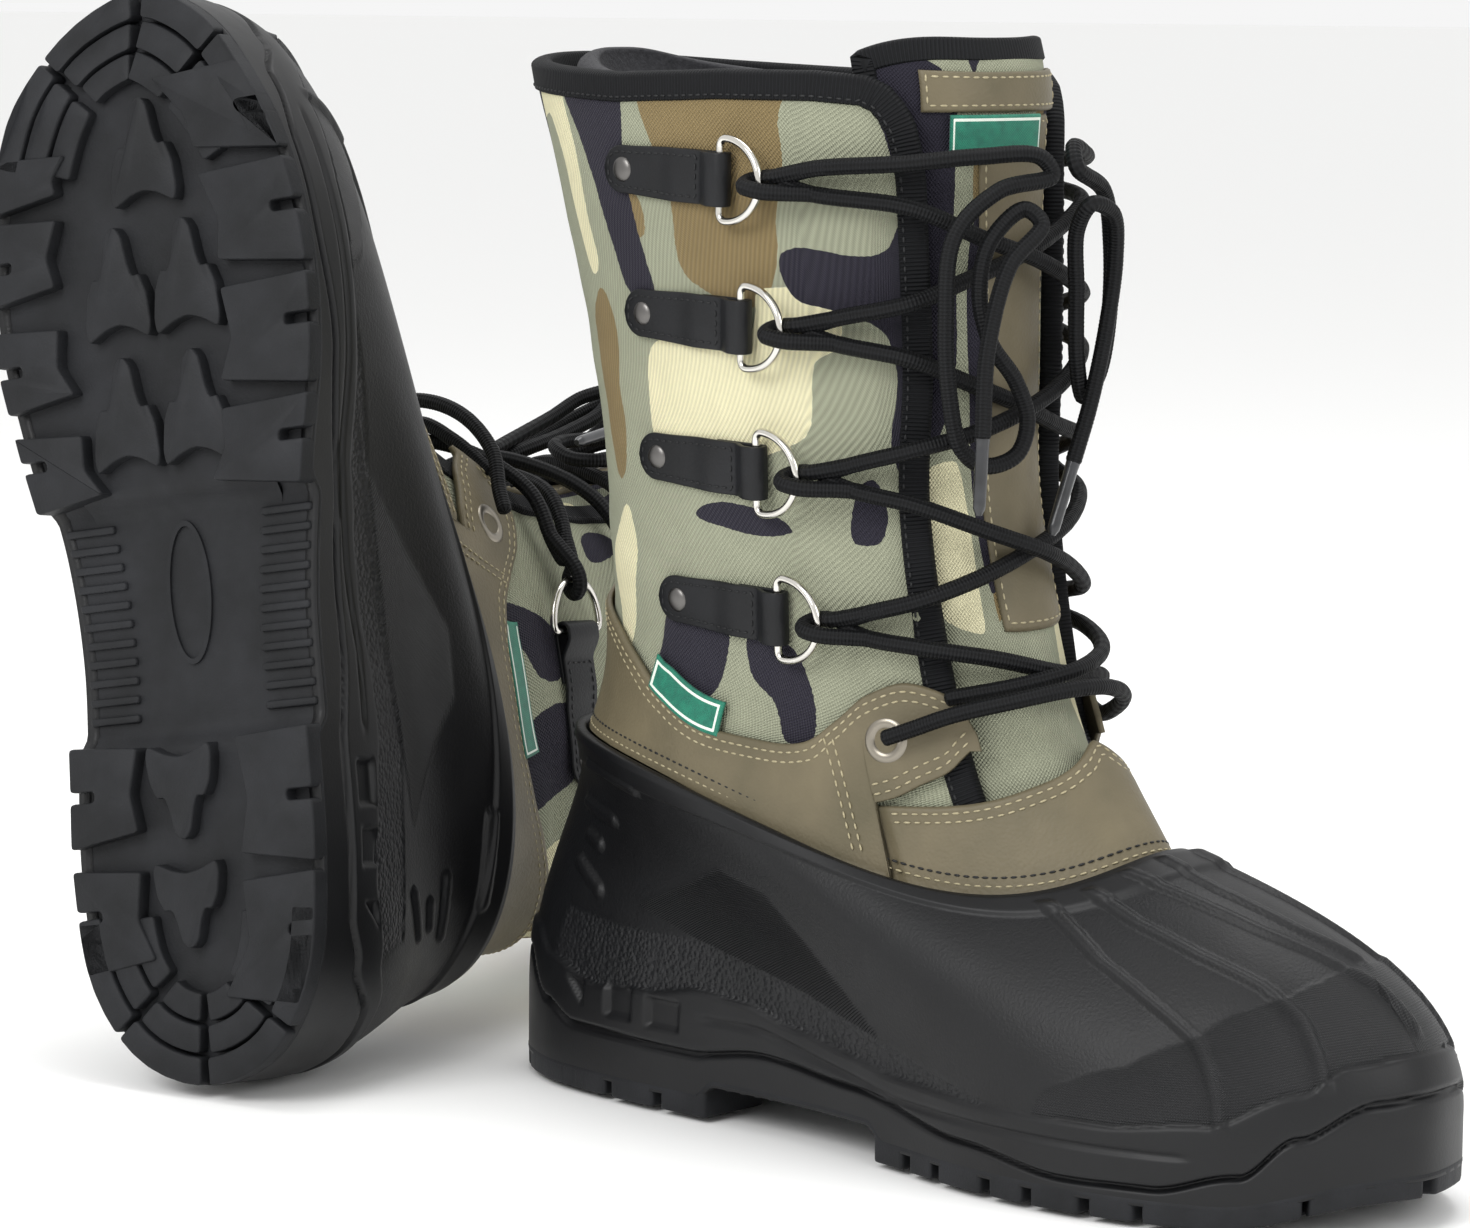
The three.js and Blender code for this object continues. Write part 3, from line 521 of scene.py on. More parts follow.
# Printed oxford canvas: coarse plain weave, four camouflage inks
def printedCanvas():
    look = {"sage": "#a3a68f", "brown": "#8c7a55", "navy": "#2d2b36", "cream": "#efe9c2", "thread": 1.3}
    material, tree, shader = newMaterial("printedCanvas", roughness=0.85, gloss=0.15, sheen=0.05)
    edge = math2(tree, "MULTIPLY", math2(tree, "SUBTRACT", objectNoise(tree, 1.6, 1), 0.5), 0.6)
    ink = colour(look["sage"])
    for name in ("brown", "cream", "navy"):
        inside = math2(tree, "GREATER_THAN", math2(tree, "ADD", field(tree, name), edge), 0.0)
        ink = mixColour(tree, inside, ink, colour(look[name]))
    warp, weft = surfaceWave(tree, look["thread"], look["thread"])
    weave = math2(tree, "MULTIPLY", warp, weft)
    over = math2(tree, "MULTIPLY_ADD", weave, 0.22, 0.95)
    worn = math2(tree, "MULTIPLY_ADD", objectNoise(tree, 9, 3), 0.16, 0.92)
    tone = math2(tree, "MULTIPLY", over, worn)
    grey = addNode(tree, "ShaderNodeCombineColor", {0: tone, 1: tone, 2: tone}).outputs[0]
    tree.links.new(mixColour(tree, 1.0, ink, grey, "MULTIPLY"), shader.inputs["Base Color"])
    fuzz = math2(tree, "MULTIPLY", objectNoise(tree, 0.7, 2), 0.5)
    bumped(tree, shader, math2(tree, "ADD", weave, fuzz), 0.3)
    return material


# Grosgrain binding tape: black polyester with fine cross ribs
def bindingTape():
    material, tree, shader = newMaterial("bindingTape", roughness=0.7, gloss=0.2)
    ribs, _ = surfaceWave(tree, 1.1, 1.1)
    tone = math2(tree, "MULTIPLY_ADD", ribs, 0.25, 0.5)
    tree.links.new(toneRamp(tree, tone, [(0.1, "#08090a"), (0.9, "#151619")]), shader.inputs["Base Color"])
    bumped(tree, shader, ribs, 0.18)
    return material


# Plain lining cloth, black knitted nylon
def liningCloth():
    material, tree, shader = newMaterial("liningCloth", roughness=0.9, gloss=0.2)
    a, b = surfaceWave(tree, 1.4, 1.4)
    tree.links.new(toneRamp(tree, objectNoise(tree, 8, 2), [(0.3, "#121316"), (0.8, "#1d1e22")]),
                   shader.inputs["Base Color"])
    bumped(tree, shader, math2(tree, "MULTIPLY", a, b), 0.1)
    return material


# Pressed wool felt: charcoal, fibrous and quite matt
def pressedFelt():
    material, tree, shader = newMaterial("pressedFelt", roughness=0.97, gloss=0.15, sheen=0.1)
    fibres = objectNoise(tree, 1.4, 5, 0.75)
    tree.links.new(toneRamp(tree, fibres, [(0.3, "#232325"), (0.7, "#3b3b3e")]), shader.inputs["Base Color"])
    bumped(tree, shader, fibres, 0.4)
    return material


# Braided polyester lace: black strands that cross in a herringbone
def braidedLace():
    material, tree, shader = newMaterial("braidedLace", roughness=0.62, gloss=0.2)
    surface = addNode(tree, "ShaderNodeUVMap", uv_map="surface").outputs[0]
    where = addNode(tree, "ShaderNodeSeparateXYZ", {0: surface})
    run, turn = where.outputs[0], where.outputs[1]
    strands = []
    for way in (1.0, -1.0):
        along = math2(tree, "MULTIPLY", run, 2 * math.pi / 2.0)
        slant = math2(tree, "MULTIPLY_ADD", turn, 4 * way * 2 * math.pi, along)
        strands.append(math2(tree, "SINE", slant))
    braid = math2(tree, "MULTIPLY", *strands)
    tree.links.new(toneRamp(tree, math2(tree, "MULTIPLY_ADD", braid, 0.5, 0.5),
                            [(0.1, "#040405"), (0.9, "#121315")]),
                   shader.inputs["Base Color"])
    bumped(tree, shader, braid, 0.2)
    return material


# Metals: bright nickel plate, aged nickel and dark gunmetal, each with light handling marks
def platedMetal(name, tone, roughness):
    material, tree, shader = newMaterial(name, roughness=roughness, metallic=1.0)
    marks = objectNoise(tree, 3, 4, 0.6)
    shader.inputs["Base Color"].default_value = colour(tone)
    tree.links.new(math2(tree, "MULTIPLY_ADD", marks, 0.16, roughness - 0.06), shader.inputs["Roughness"])
    bumped(tree, shader, objectNoise(tree, 0.9, 2), 0.01)
    return material


# Spun sewing thread, slightly glossy
def sewingThread(name, dark, light):
    material, tree, shader = newMaterial(name, roughness=0.55, ior=1.45)
    twist = objectNoise(tree, 0.5, 1)
    tree.links.new(toneRamp(tree, twist, [(0.3, dark), (0.7, light)]), shader.inputs["Base Color"])
    bumped(tree, shader, twist, 0.05)
    return material


# Woven satin label: plain green with a pale woven frame
def wovenLabel():
    material, tree, shader = newMaterial("wovenLabel", roughness=0.5, ior=1.45, sheen=0.1)
    ground = toneRamp(tree, objectNoise(tree, 2.5, 2), [(0.3, "#0e6350"), (0.7, "#16785f")])
    line = math2(tree, "GREATER_THAN", field(tree, "frameLine"), 0.5)
    tree.links.new(mixColour(tree, line, ground, colour("#dfe7dc")), shader.inputs["Base Color"])
    a, b = surfaceWave(tree, 0.8, 0.8)
    bumped(tree, shader, math2(tree, "MULTIPLY", a, b), 0.05)
    return material


# Moulded closed-cell foam of the footbed: dull dark grey with small bubbles
def closedFoam():
    material, tree, shader = newMaterial("closedFoam", roughness=0.93)
    bubbles = objectNoise(tree, 1.2, 3)
    tree.links.new(toneRamp(tree, bubbles, [(0.3, "#2b2c2e"), (0.7, "#3d3e40")]), shader.inputs["Base Color"])
    bumped(tree, shader, bubbles, 0.15)
    return material


# Lacquered lace tips: smooth black with a thin clear coat
def lacquerTip():
    material, tree, shader = newMaterial("lacquerTip", roughness=0.3, coat=0.3)
    tree.links.new(toneRamp(tree, objectNoise(tree, 6, 2), [(0.3, "#17181a"), (0.7, "#2a2b2e")]),
                   shader.inputs["Base Color"])
    bumped(tree, shader, objectNoise(tree, 2, 2), 0.03)
    return material


finishes = {
    "shell": mouldedRubber(), "sole": soleRubber(), "leather": coatedLeather(), "strap": strapLeather(),
    "canvas": printedCanvas(), "binding": bindingTape(), "lining": liningCloth(), "felt": pressedFelt(),
    "lace": braidedLace(), "ring": platedMetal("brightNickel", "#d9d6cf", 0.16),
    "eyelet": platedMetal("agedNickel", "#8d877c", 0.3), "rivet": platedMetal("gunmetal", "#6c6a68", 0.34),
    "paleThread": sewingThread("paleThread", "#958b6c", "#b0a688"),
    "blackThread": sewingThread("blackThread", "#08090a", "#1a1b1d"),
    "label": wovenLabel(), "foam": closedFoam(), "tip": lacquerTip(),
}
print("materials made")


# Laces
lace = {"radius": 2.3, "step": 0.55, "sides": 18, "relief": 0.1, "tipLength": 21.0, "tipRadius": 1.9}
laceRoutes = {
    "lateral": [
        [172, -31, 127.5], [184.5, -15, 131], [191.5, 0, 134.5], [187, 16, 137], [178, 27, 139],
        [163, 37, 141.5], [150, 41, 143.5], [144.5, 42.5, 146.5], [151, 41, 149.5], [165, 34, 153],
        [175, 18, 160], [180.5, 0, 166.5], [175, -18, 173], [163, -34, 180], [146, -43.5, 184],
        [139.5, -45.5, 187], [146, -43.5, 190], [162, -35, 195], [171.5, -18, 200], [175.2, 0, 206.5],
        [171.5, 18, 213], [162, 35, 220], [142, 46.5, 224], [135.5, 49, 227], [142, 46.5, 230],
        [162, 35, 235], [170.5, 18, 241], [174.4, 0, 247], [170.5, -18, 253], [161, -35.5, 261],
        [135, -49.5, 264.5], [128.5, -52, 267.5], [135, -50, 270.5], [160, -37, 273], [173, -22, 275],
        [182, -7, 275], [184, -4, 270], [179, -20, 266], [174, -32, 254], [173, -34, 230], [173, -32, 210],
        [174, -28, 196], [176, -20, 191], [180, -12, 194], [181, -9, 203], [180, -13, 214], [178.5, -22, 225],
        [177, -25, 238], [178.5, -23, 252], [183, -14, 261], [187.5, -12, 257], [185, -22, 246],
        [183, -28, 224], [182.5, -29, 199]],
    "medial": [
        [159, -42, 116], [166, -38.5, 119], [178, -34, 124], [190, -23, 128], [197, -9, 130.5],
        [198.5, 4, 130.5], [193, 19, 127], [181, 32, 121], [168, 39, 116.5], [160, 42.5, 119.5],
        [166, 39, 124.5], [177, 29, 129], [183.5, 15, 131.5], [186, 0, 133.5], [180, -18, 138],
        [166, -35.5, 141.5], [150, -41, 143.5], [144.5, -42.5, 146.5], [151, -41.5, 149.5], [165, -34.5, 154],
        [173, -18, 160], [175.4, 0, 166.5], [173, 18, 173], [162, 35, 180], [146, 43.5, 184],
        [139.5, 45.5, 187], [146, 43.5, 190], [161, 35.5, 195], [167, 18, 200], [169.4, 0, 206.5],
        [167, -18, 213], [161, -35.5, 220], [142, -46.5, 224], [135.5, -49, 227], [142, -46.5, 230],
        [161, -35.5, 235], [166, -18, 241], [168.7, 0, 247], [166, 18, 253], [160, 36.5, 261],
        [135, 49.5, 264.5], [128.5, 52, 267.5], [135, 50, 270.5], [160, 37, 273], [173, 22, 275],
        [182, 7, 277], [185, 5, 272], [182, 20, 265], [179, 27, 250], [178, 28, 230], [178, 24, 214],
        [178, 18, 208], [179.5, 13, 218], [180.5, 11, 238], [183, 8, 255], [188, 8, 262], [188, 17, 259],
        [185, 22, 247], [184, 20, 228], [183, 15, 207], [182, 9, 190]],
}


def evenly(points, step):
    # The same line with points step millimetres apart, and the distance run at each.
    run = np.concatenate([[0], np.cumsum(np.linalg.norm(np.diff(points, axis=0), axis=1))])
    at = np.linspace(0, run[-1], max(4, int(round(run[-1] / step)) + 1))
    return np.stack([np.interp(at, run, points[:, k]) for k in range(3)], -1), at


def sideways(points, closed=False):
    # Two directions across a line at each point, carried along it without twist.
    if closed:
        way = np.roll(points, -1, 0) - np.roll(points, 1, 0)
    else:
        way = np.gradient(points, axis=0)
    way /= np.linalg.norm(way, axis=1, keepdims=True)
    first = np.cross(way[0], [0, 0, 1] if abs(way[0][2]) < 0.8 else [1, 0, 0])
    out = np.empty_like(points)
    for i, ahead in enumerate(way):
        first = first - ahead * (first @ ahead)
        first = first / np.linalg.norm(first)
        out[i] = first
    return out, np.cross(way, out)


def tubeRings(points, radius, sides, swell=None, closed=False):
    # Rings of points round a line; swell(run share, angle) adds to the radius.
    across, over = sideways(points, closed)
    angle = np.arange(sides) * 2 * math.pi / sides
    reach = np.broadcast_to(np.asarray(radius, float).reshape(-1, 1), (len(points), sides)).copy()
    if swell is not None:
        reach += swell(angle)
    return points[:, None] + reach[..., None] * (across[:, None] * np.cos(angle)[:, None]
                                                 + over[:, None] * np.sin(angle)[:, None])


def makeLace(pair, name, centre, run, ends=1.0):
    # A braided tube along a line of the local frame, its ends rounded off.
    def braid(angle):
        a = run[:, None] * 2 * math.pi / 2.0
        return lace["relief"] * np.sin(a + 3 * angle) * np.sin(a - 3 * angle)
    radius = lace["radius"] * np.clip(np.sqrt(np.clip((run + 0.15) / ends, 0, 1)), 0.2, 1)
    radius = radius * np.clip(np.sqrt(np.clip((run[-1] - run + 0.15) / ends, 0, 1)), 0.2, 1)
    rings = tubeRings(centre, radius, lace["sides"], braid)
    points, quads = closedRings(rings)
    uv = np.stack(np.broadcast_arrays(run[:, None], np.arange(lace["sides"]) / lace["sides"]), -1)
    uv = uv.reshape(-1, 2)
    return makePiece(name, placed(pair, points), quads, uv=uv, flip=pair["flip"], wrap=(1, 1.0))


laceLines = {}
for pair in boots:
    for side, route in laceRoutes.items():
        knots = leant(np.array(route, float), pair["lean"])
        centre, run = evenly(splineThrough(knots, np.linspace(0, 1, 60 * len(route))), lace["step"])
        laceLines[pair["side"], side] = centre, run
        piece = makeLace(pair, f"{pair['side']}_lace_{side}", centre, run)
        finish(piece, pair["body"], finishes["lace"], [f"{pair['side']}_lacing_{side}"])
        down = centre[-1] - centre[-5]
        down /= np.linalg.norm(down)
        tipRun = np.linspace(0, lace["tipLength"], 24)
        tipLine = centre[-1] + down * (tipRun[:, None] - 0.6)
        taper = np.interp(tipRun, [0, 0.4, 1.2, lace["tipLength"] - 2, lace["tipLength"]],
                          [2.0, 2.15, lace["tipRadius"], 1.75, 0.9])
        tipPoints, tipQuads = closedRings(tubeRings(tipLine, taper, 16))
        tip = makePiece(f"{pair['side']}_laceTip_{side}", placed(pair, tipPoints), tipQuads,
                        flip=pair["flip"], sharp=50)
        finish(tip, pair["body"], finishes["tip"], [f"{pair['side']}_aglet_{side}"])
print("laces made")


# Lacing rows: straps, rivets, rings and the lace's turn through each ring
hardware = {"wire": 1.15, "reach": 16.0, "halfHeight": 11.5, "tilt": 4.0, "strapLength": 40.0, "strapEnd": 8.0,
            "strapWidth": 15.0, "barHeight": 3.65, "leather": 1.3, "rivet": 3.6, "rivetHeight": 1.3}


def rowFrame(pair, row, sign):
    z = boot["lowestRow"] + (boot["highestRow"] - boot["lowestRow"]) * row / 3
    bar = np.array(locate(boot["rowBars"][row], z, sign))
    rivet = np.array(locate(boot["rowBars"][row] - hardware["strapLength"], z + 1, sign))
    at = under(pair["skin"], *bar, depths["shaft"])
    start = under(pair["skin"], *rivet, depths["shaft"])
    forward = (at - start) / np.linalg.norm(at - start)
    normal = onSkin(pair["skin"], *((bar + rivet) / 2))[1]
    normal = normal - forward * (normal @ forward)
    normal /= np.linalg.norm(normal)

    def height(distance):
        share = np.clip(1 + np.asarray(distance, float) / hardware["strapLength"], -0.3, 1.1)
        u, v = (rivet[k] + (bar[k] - rivet[k]) * share for k in (0, 1))
        return (under(pair["skin"], u, v, depths["shaft"]) - at) @ normal
    return {"at": at, "axes": np.stack([forward, np.cross(normal, forward), normal]), "height": height}


def fromRow(frameOfRow, points):
    return frameOfRow["at"] + np.asarray(points, float) @ frameOfRow["axes"]


def ribbonRings(line, over, halfWidth, thickness, corner=0.45, sides=5):
    # Rings of a flat ribbon along a line in the x, z plane, with rounded edges.
    rings = []
    for (x, z), (ox, oz), half, thick in zip(line, over, halfWidth, thickness):
        r = min(corner, thick / 2, half)
        ring = []
        for cy, cz, first in ((half - r, thick / 2 - r, 0), (-half + r, thick / 2 - r, 90),
                              (-half + r, -thick / 2 + r, 180), (half - r, -thick / 2 + r, 270)):
            for k in range(sides):
                a = math.radians(first + 90 * k / (sides - 1))
                across, up = cy + r * math.cos(a), cz + r * math.sin(a)
                ring.append((x + ox * up, across, z + oz * up))
        rings.append(ring)
    return np.array(rings)


def strapParts(frameOfRow):
    # The strap's rings, its stitch line and the rivet's seat, in the row's frame.
    h, barZ = frameOfRow["height"], hardware["barHeight"]
    length, wrap = hardware["strapLength"] + hardware["strapEnd"], 2.55
    thick = hardware["leather"]
    back = np.linspace(-length, -length + 9, 14)
    body = np.concatenate([back, np.linspace(-length + 9, -wrap, 26)[1:]])
    lift = 0.35 + thick / 2 + 1.15 * smooth(-26, -16, body)
    topZ = h(body) + lift
    topZ += (barZ + wrap - topZ) * smooth(-9, -1.5, body)
    turn = np.radians(np.linspace(90, -90, 15))
    bend = np.stack([wrap * np.cos(turn) * 0.96, barZ + wrap * np.sin(turn)], -1)
    tail = np.linspace(-2, -16, 10)
    drop = (h(tail) - barZ + wrap + 0.85) * smooth(-1, -8, tail)
    tailZ = np.maximum(h(tail) + 0.2 + thick / 2, barZ - wrap + drop)
    line = np.concatenate([np.stack([body, topZ], -1), bend[1:-1], np.stack([tail, tailZ], -1)])
    way = np.gradient(line, axis=0)
    way /= np.linalg.norm(way, axis=1, keepdims=True)
    over = np.stack([-way[:, 1], way[:, 0]], -1)
    run = np.concatenate([[0], np.cumsum(np.linalg.norm(np.diff(line, axis=0), axis=1))])
    rear = np.clip(run / 7.5, 0, 1)
    half = hardware["strapWidth"] / 2 * np.sqrt(np.clip(1 - (1 - rear) ** 2.2, 0.004, 1))
    half *= 1 - 0.1 * (1 - smooth(8, 30, run))
    rings = ribbonRings(line, over, half, np.full(len(line), thick))
    top = len(body)
    surface = line[:top] + over[:top] * (thick / 2 + 0.05)
    inner = 1.9
    keep = (run[:top] > inner) & (body < -8.5)
    edge = np.maximum(half[:top] - inner, 0)
    upper = np.stack([surface[keep, 0], edge[keep], surface[keep, 1]], -1)
    lower = upper * [1, -1, 1]
    cross = np.linspace(upper[-1], lower[-1], 7)
    nose = np.array([[surface[0, 0] + inner * 0.95, 0, surface[2, 1]]])
    stitch = np.concatenate([nose, upper, cross[1:-1], lower[::-1], nose])
    seat = float(np.interp(-hardware["strapLength"], body, topZ)) + thick / 2
    return rings, stitch, seat


def latheRings(profile, sides, axes, centre):
    angle = np.arange(sides) * 2 * math.pi / sides
    profile = np.asarray(profile, float)
    flat = np.stack([profile[:, :1] * np.cos(angle), profile[:, :1] * np.sin(angle),
                     np.broadcast_to(profile[:, 1:], (len(profile), sides))], -1)
    return centre + flat @ axes


def dRingLine():
    # Middle line of the ring wire: the bar lies on y and the bow reaches to +x.
    half, reach, corner = hardware["halfHeight"], hardware["reach"], 2.4
    bar = [(0, y) for y in np.linspace(-half + corner, half - corner, 14)]
    turn = [(corner - corner * math.cos(a), half - corner + corner * math.sin(a))
            for a in np.radians((15, 30, 45, 60, 75))]
    bow = [(corner + (reach - corner) * math.cos(a), half * math.sin(a))
           for a in np.radians(np.linspace(90, -90, 49))]
    line = bar + turn + bow + [(x, -y) for x, y in reversed(turn)]
    return np.array([(x, y, 0) for x, y in line], float)


stitchRows = {pair["side"]: {"pale": [], "black": []} for pair in boots}
rivetSeats = {pair["side"]: [] for pair in boots}
ringLine = dRingLine()
tilt = math.radians(hardware["tilt"])
for pair in boots:
    for side, sign in (("lateral", -1), ("medial", 1)):
        for row in range(4):
            rowAt = rowFrame(pair, row, sign)
            label = f"{side}_{row + 1}"
            rings, stitch, seat = strapParts(rowAt)
            points, quads = closedRings(rings)
            strap = makePiece(f"{pair['side']}_strap_{label}_leather", placed(pair, fromRow(rowAt, points)),
                              quads[:, ::-1], flip=pair["flip"], sharp=60)
            finish(strap, pair["body"], finishes["strap"], [f"{pair['side']}_strap_{label}"])
            facing = rowAt["axes"][2]
            normals = np.tile(facing, (len(stitch), 1))
            stitchRows[pair["side"]]["black"].append((fromRow(rowAt, stitch), normals))
            rivetSeats[pair["side"]].append((fromRow(rowAt, [-hardware["strapLength"], 0, seat]), facing))

            swung = ringLine @ np.array([[math.cos(tilt), 0, math.sin(tilt)], [0, 1, 0], [0, 0, 1]])
            wire = tubeRings(swung + [0, 0, hardware["barHeight"]], hardware["wire"], 14, closed=True)
            count = len(wire)
            ringQuads = gridQuads(count + 1, 14, wrap=True) % (count * 14)
            ringBody = f"{pair['side']}_d_ring_{label}"
            ring = makePiece(f"{ringBody}_wire", placed(pair, fromRow(rowAt, wire.reshape(-1, 3))), ringQuads,
                             flip=pair["flip"])
            finish(ring, ringBody, finishes["ring"], [ringBody])

            wireZ = hardware["barHeight"] + hardware["reach"] * math.sin(tilt)
            best = None
            for name in laceRoutes:
                centre, run = laceLines[pair["side"], name]
                gap = np.linalg.norm(centre - fromRow(rowAt, [22, 0, wireZ]), axis=1)
                if best is None or gap.min() < best[0]:
                    best = gap.min(), centre, int(np.argmin(gap))
            _, centre, apex = best
            far, near = int(15 / lace["step"]), int(9.5 / lace["step"])
            ends = [(centre[apex + way * k] - rowAt["at"]) @ rowAt["axes"].T
                    for way, k in ((-1, far), (-1, near), (1, near), (1, far))]
            lift = 1 if ends[0][1] > ends[3][1] else -1
            middle = [(20, 1.9 * lift, wireZ + 2.2), (16.4, 1.4 * lift, wireZ + 3.3),
                      (13, 0.9 * lift, wireZ + 2.7), (11.3, 0, wireZ), (12.7, -0.9 * lift, wireZ - 2.4),
                      (16.2, -1.5 * lift, wireZ - 3.0), (20, -2.0 * lift, wireZ - 1.6)]
            hook = splineThrough(np.array(ends[:2] + middle + ends[2:]), np.linspace(0, 1, 260))
            hook, hookRun = evenly(fromRow(rowAt, hook), lace["step"])
            piece = makeLace(pair, f"{pair['side']}_laceTurn_{label}", hook, hookRun, ends=0.6)
            piece.data.materials.append(finishes["lace"])
            start, end = (placed(pair, fromRow(rowAt, [x, 0, wireZ])) for x in (21.5, 15.0))
            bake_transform(piece)
print("lacing rows made")


# Eyelets
eyeletLook = {"x": 157, "z": 115, "hole": 3.1, "barrel": 4.2, "flange": 6.6, "roll": 1.15}
for pair in boots:
    for side, sign in (("lateral", -1), ("medial", 1)):
        u, v = locate(eyeletLook["x"], eyeletLook["z"], sign)
        point, normal = onSkin(pair["skin"], u, v)
        ahead = np.array([1, 0, 0]) - normal * normal[0]
        ahead /= np.linalg.norm(ahead)
        axes = np.stack([ahead, np.cross(normal, ahead), normal])
        hole, flange, roll = eyeletLook["hole"], eyeletLook["flange"], eyeletLook["roll"]
        lip = [((flange + hole) / 2 + (flange - hole) / 2 * math.cos(a), 0.3 + roll * math.sin(a))
               for a in np.radians(np.linspace(0, 180, 17))]
        barrel = eyeletLook["barrel"]
        profile = lip + [(hole, -2.2), (barrel, -2.2), (barrel, -0.1), (flange - 0.3, -0.1)]
        rings = latheRings(profile, 48, axes, point - normal * depths["band"])
        quads = gridQuads(len(profile) + 1, 48, wrap=True) % (len(profile) * 48)
        eyelet = makePiece(f"{pair['side']}_eyelet_{side}_ring", placed(pair, rings.reshape(-1, 3)), quads,
                           flip=not pair["flip"], sharp=50)
        finish(eyelet, pair["body"], finishes["eyelet"], [f"{pair['side']}_eyelet_{side}"])
print("eyelets made")


# Moulded shell
treadStations = [[0, 0], [0.89, 0], [1, 8]]
seamStations = [[0, 38], [0.047, 36], [0.094, 24], [0.14, 19], [0.29, 18], [0.38, 21.5], [0.495, 19],
                [0.65, 13], [0.76, 9], [0.84, 9.5], [0.905, 14.4], [0.943, 25], [0.984, 34], [1, 35]]
bandStations = [[0, 44], [0.06, 44], [0.1, 37], [0.17, 32], [0.24, 33.5], [0.305, 36.5], [0.35, 35.5],
                [0.43, 30.8], [0.495, 27.8], [0.56, 24.8], [0.69, 23.7], [0.79, 24.2], [0.88, 27],
                [0.94, 36], [0.965, 43], [1, 46]]
shellLook = {
    "bandProud": 1.3, "seamDeep": 1.6, "ribHigh": 1.5, "ribWide": 3.4, "rimProud": 1.1, "capProud": 0.7,
    "weltProud": 0.9, "grooveDeep": 1.2, "windowDeep": 1.6, "heelRibHigh": 1.3, "heelRibWide": 4.2,
    "hatchProud": 0.35, "sandDeep": 0.4, "rimEdge": [[0, 0.915], [0.12, 0.905], [0.3, 0.88], [0.5, 0.84]],
    "groove": [[95, 28.7], [116, 29], [140, 24.2], [174, 19], [216, 18.8], [248, 18.7], [273, 18.9]],
    "hatch": [(64, 57), (102, 73), (122, 69), (167, 34), (191, 26), (123.5, 43)],
    "sand": [(31.6, 52.4), (57, 50), (91, 50.6), (132, 42.8), (167, 34), (201, 27), (216, 24), (174, 24.8),
             (153, 27.8), (131, 30.8), (107, 35.7), (92, 36.7), (71, 33.3), (50, 31.5), (27, 37)],
    "windows": [[(54, 24), (65, 24), (65, 33), (54, 33)], [(71.5, 23.5), (84.5, 23.5), (84.5, 32), (71.5, 32)],
                [(36, 33), (44, 32), (43.7, 25)]],
    "heelRibs": [[(41, 95), (66.5, 91)], [(32, 82), (49, 79)], [(35, 73), (42, 71)], [(32.5, 65), (45, 58.5)]],
    "toeRibs": [
        [(-0.081, 0.94), (-0.085, 0.71), (-0.081, 0.55), (-0.075, 0.38), (-0.078, 0.12)],
        [(-0.06, 0.95), (-0.0583, 0.81), (-0.0514, 0.66), (-0.0417, 0.52), (-0.0375, 0.39), (-0.04, 0.18)],
        [(-0.0375, 0.97), (-0.0306, 0.86), (-0.021, 0.69), (-0.0083, 0.55), (0.0014, 0.43), (0.005, 0.3)],
        [(-0.014, 0.97), (-0.0125, 0.84), (-0.0042, 0.66), (0.0083, 0.53)],
        [(0.012, 0.97), (0.035, 0.53), (0.045, 0.2)],
        [(0.035, 0.95), (0.06, 0.5), (0.065, 0.15)],
        [(0.062, 0.94), (0.075, 0.12)]],
    "capEdge": [(0, 290), (10, 288), (20, 284), (30, 274), (37, 268), (47, 253), (52, 239), (55, 226)],
}


def treadHeight(x):
    return between(treadStations, alongSole(x))


def lugRoot(x):
    share = alongSole(x)
    arch = smooth(0.30, 0.325, share) * (1 - smooth(0.52, 0.545, share))
    return treadHeight(x) + 5 + 5 * arch


def toPolygon(x, z, corners):
    # Distance from points to a closed outline, positive inside.
    best, inside = np.full(x.shape, 1e9), np.zeros(x.shape, bool)
    for (x0, z0), (x1, z1) in zip(corners, corners[1:] + corners[:1]):
        dx, dz = x1 - x0, z1 - z0
        t = np.clip(((x - x0) * dx + (z - z0) * dz) / (dx * dx + dz * dz), 0, 1)
        best = np.minimum(best, np.hypot(x - x0 - t * dx, z - z0 - t * dz))
        crosses = (z0 > z) != (z1 > z)
        at = x0 + (z - z0) * dx / (dz if dz else 1e-9)
        inside ^= crosses & (x < at)
    return np.where(inside, best, -best)


def toLine(x, z, corners):
    best = np.full(x.shape, 1e9)
    for (x0, z0), (x1, z1) in zip(corners, corners[1:]):
        dx, dz = x1 - x0, z1 - z0
        t = np.clip(((x - x0) * dx + (z - z0) * dz) / (dx * dx + dz * dz), 0, 1)
        best = np.minimum(best, np.hypot(x - x0 - t * dx, z - z0 - t * dz))
    return best


def ridge(distance, width):
    # A rounded ridge: one on its line and nought beyond half its width.
    share = distance / (width / 2)
    return np.sqrt(np.clip(1 - share ** 2, 0, 1)) * (1 - smooth(0.8, 1, share) * 0.3)


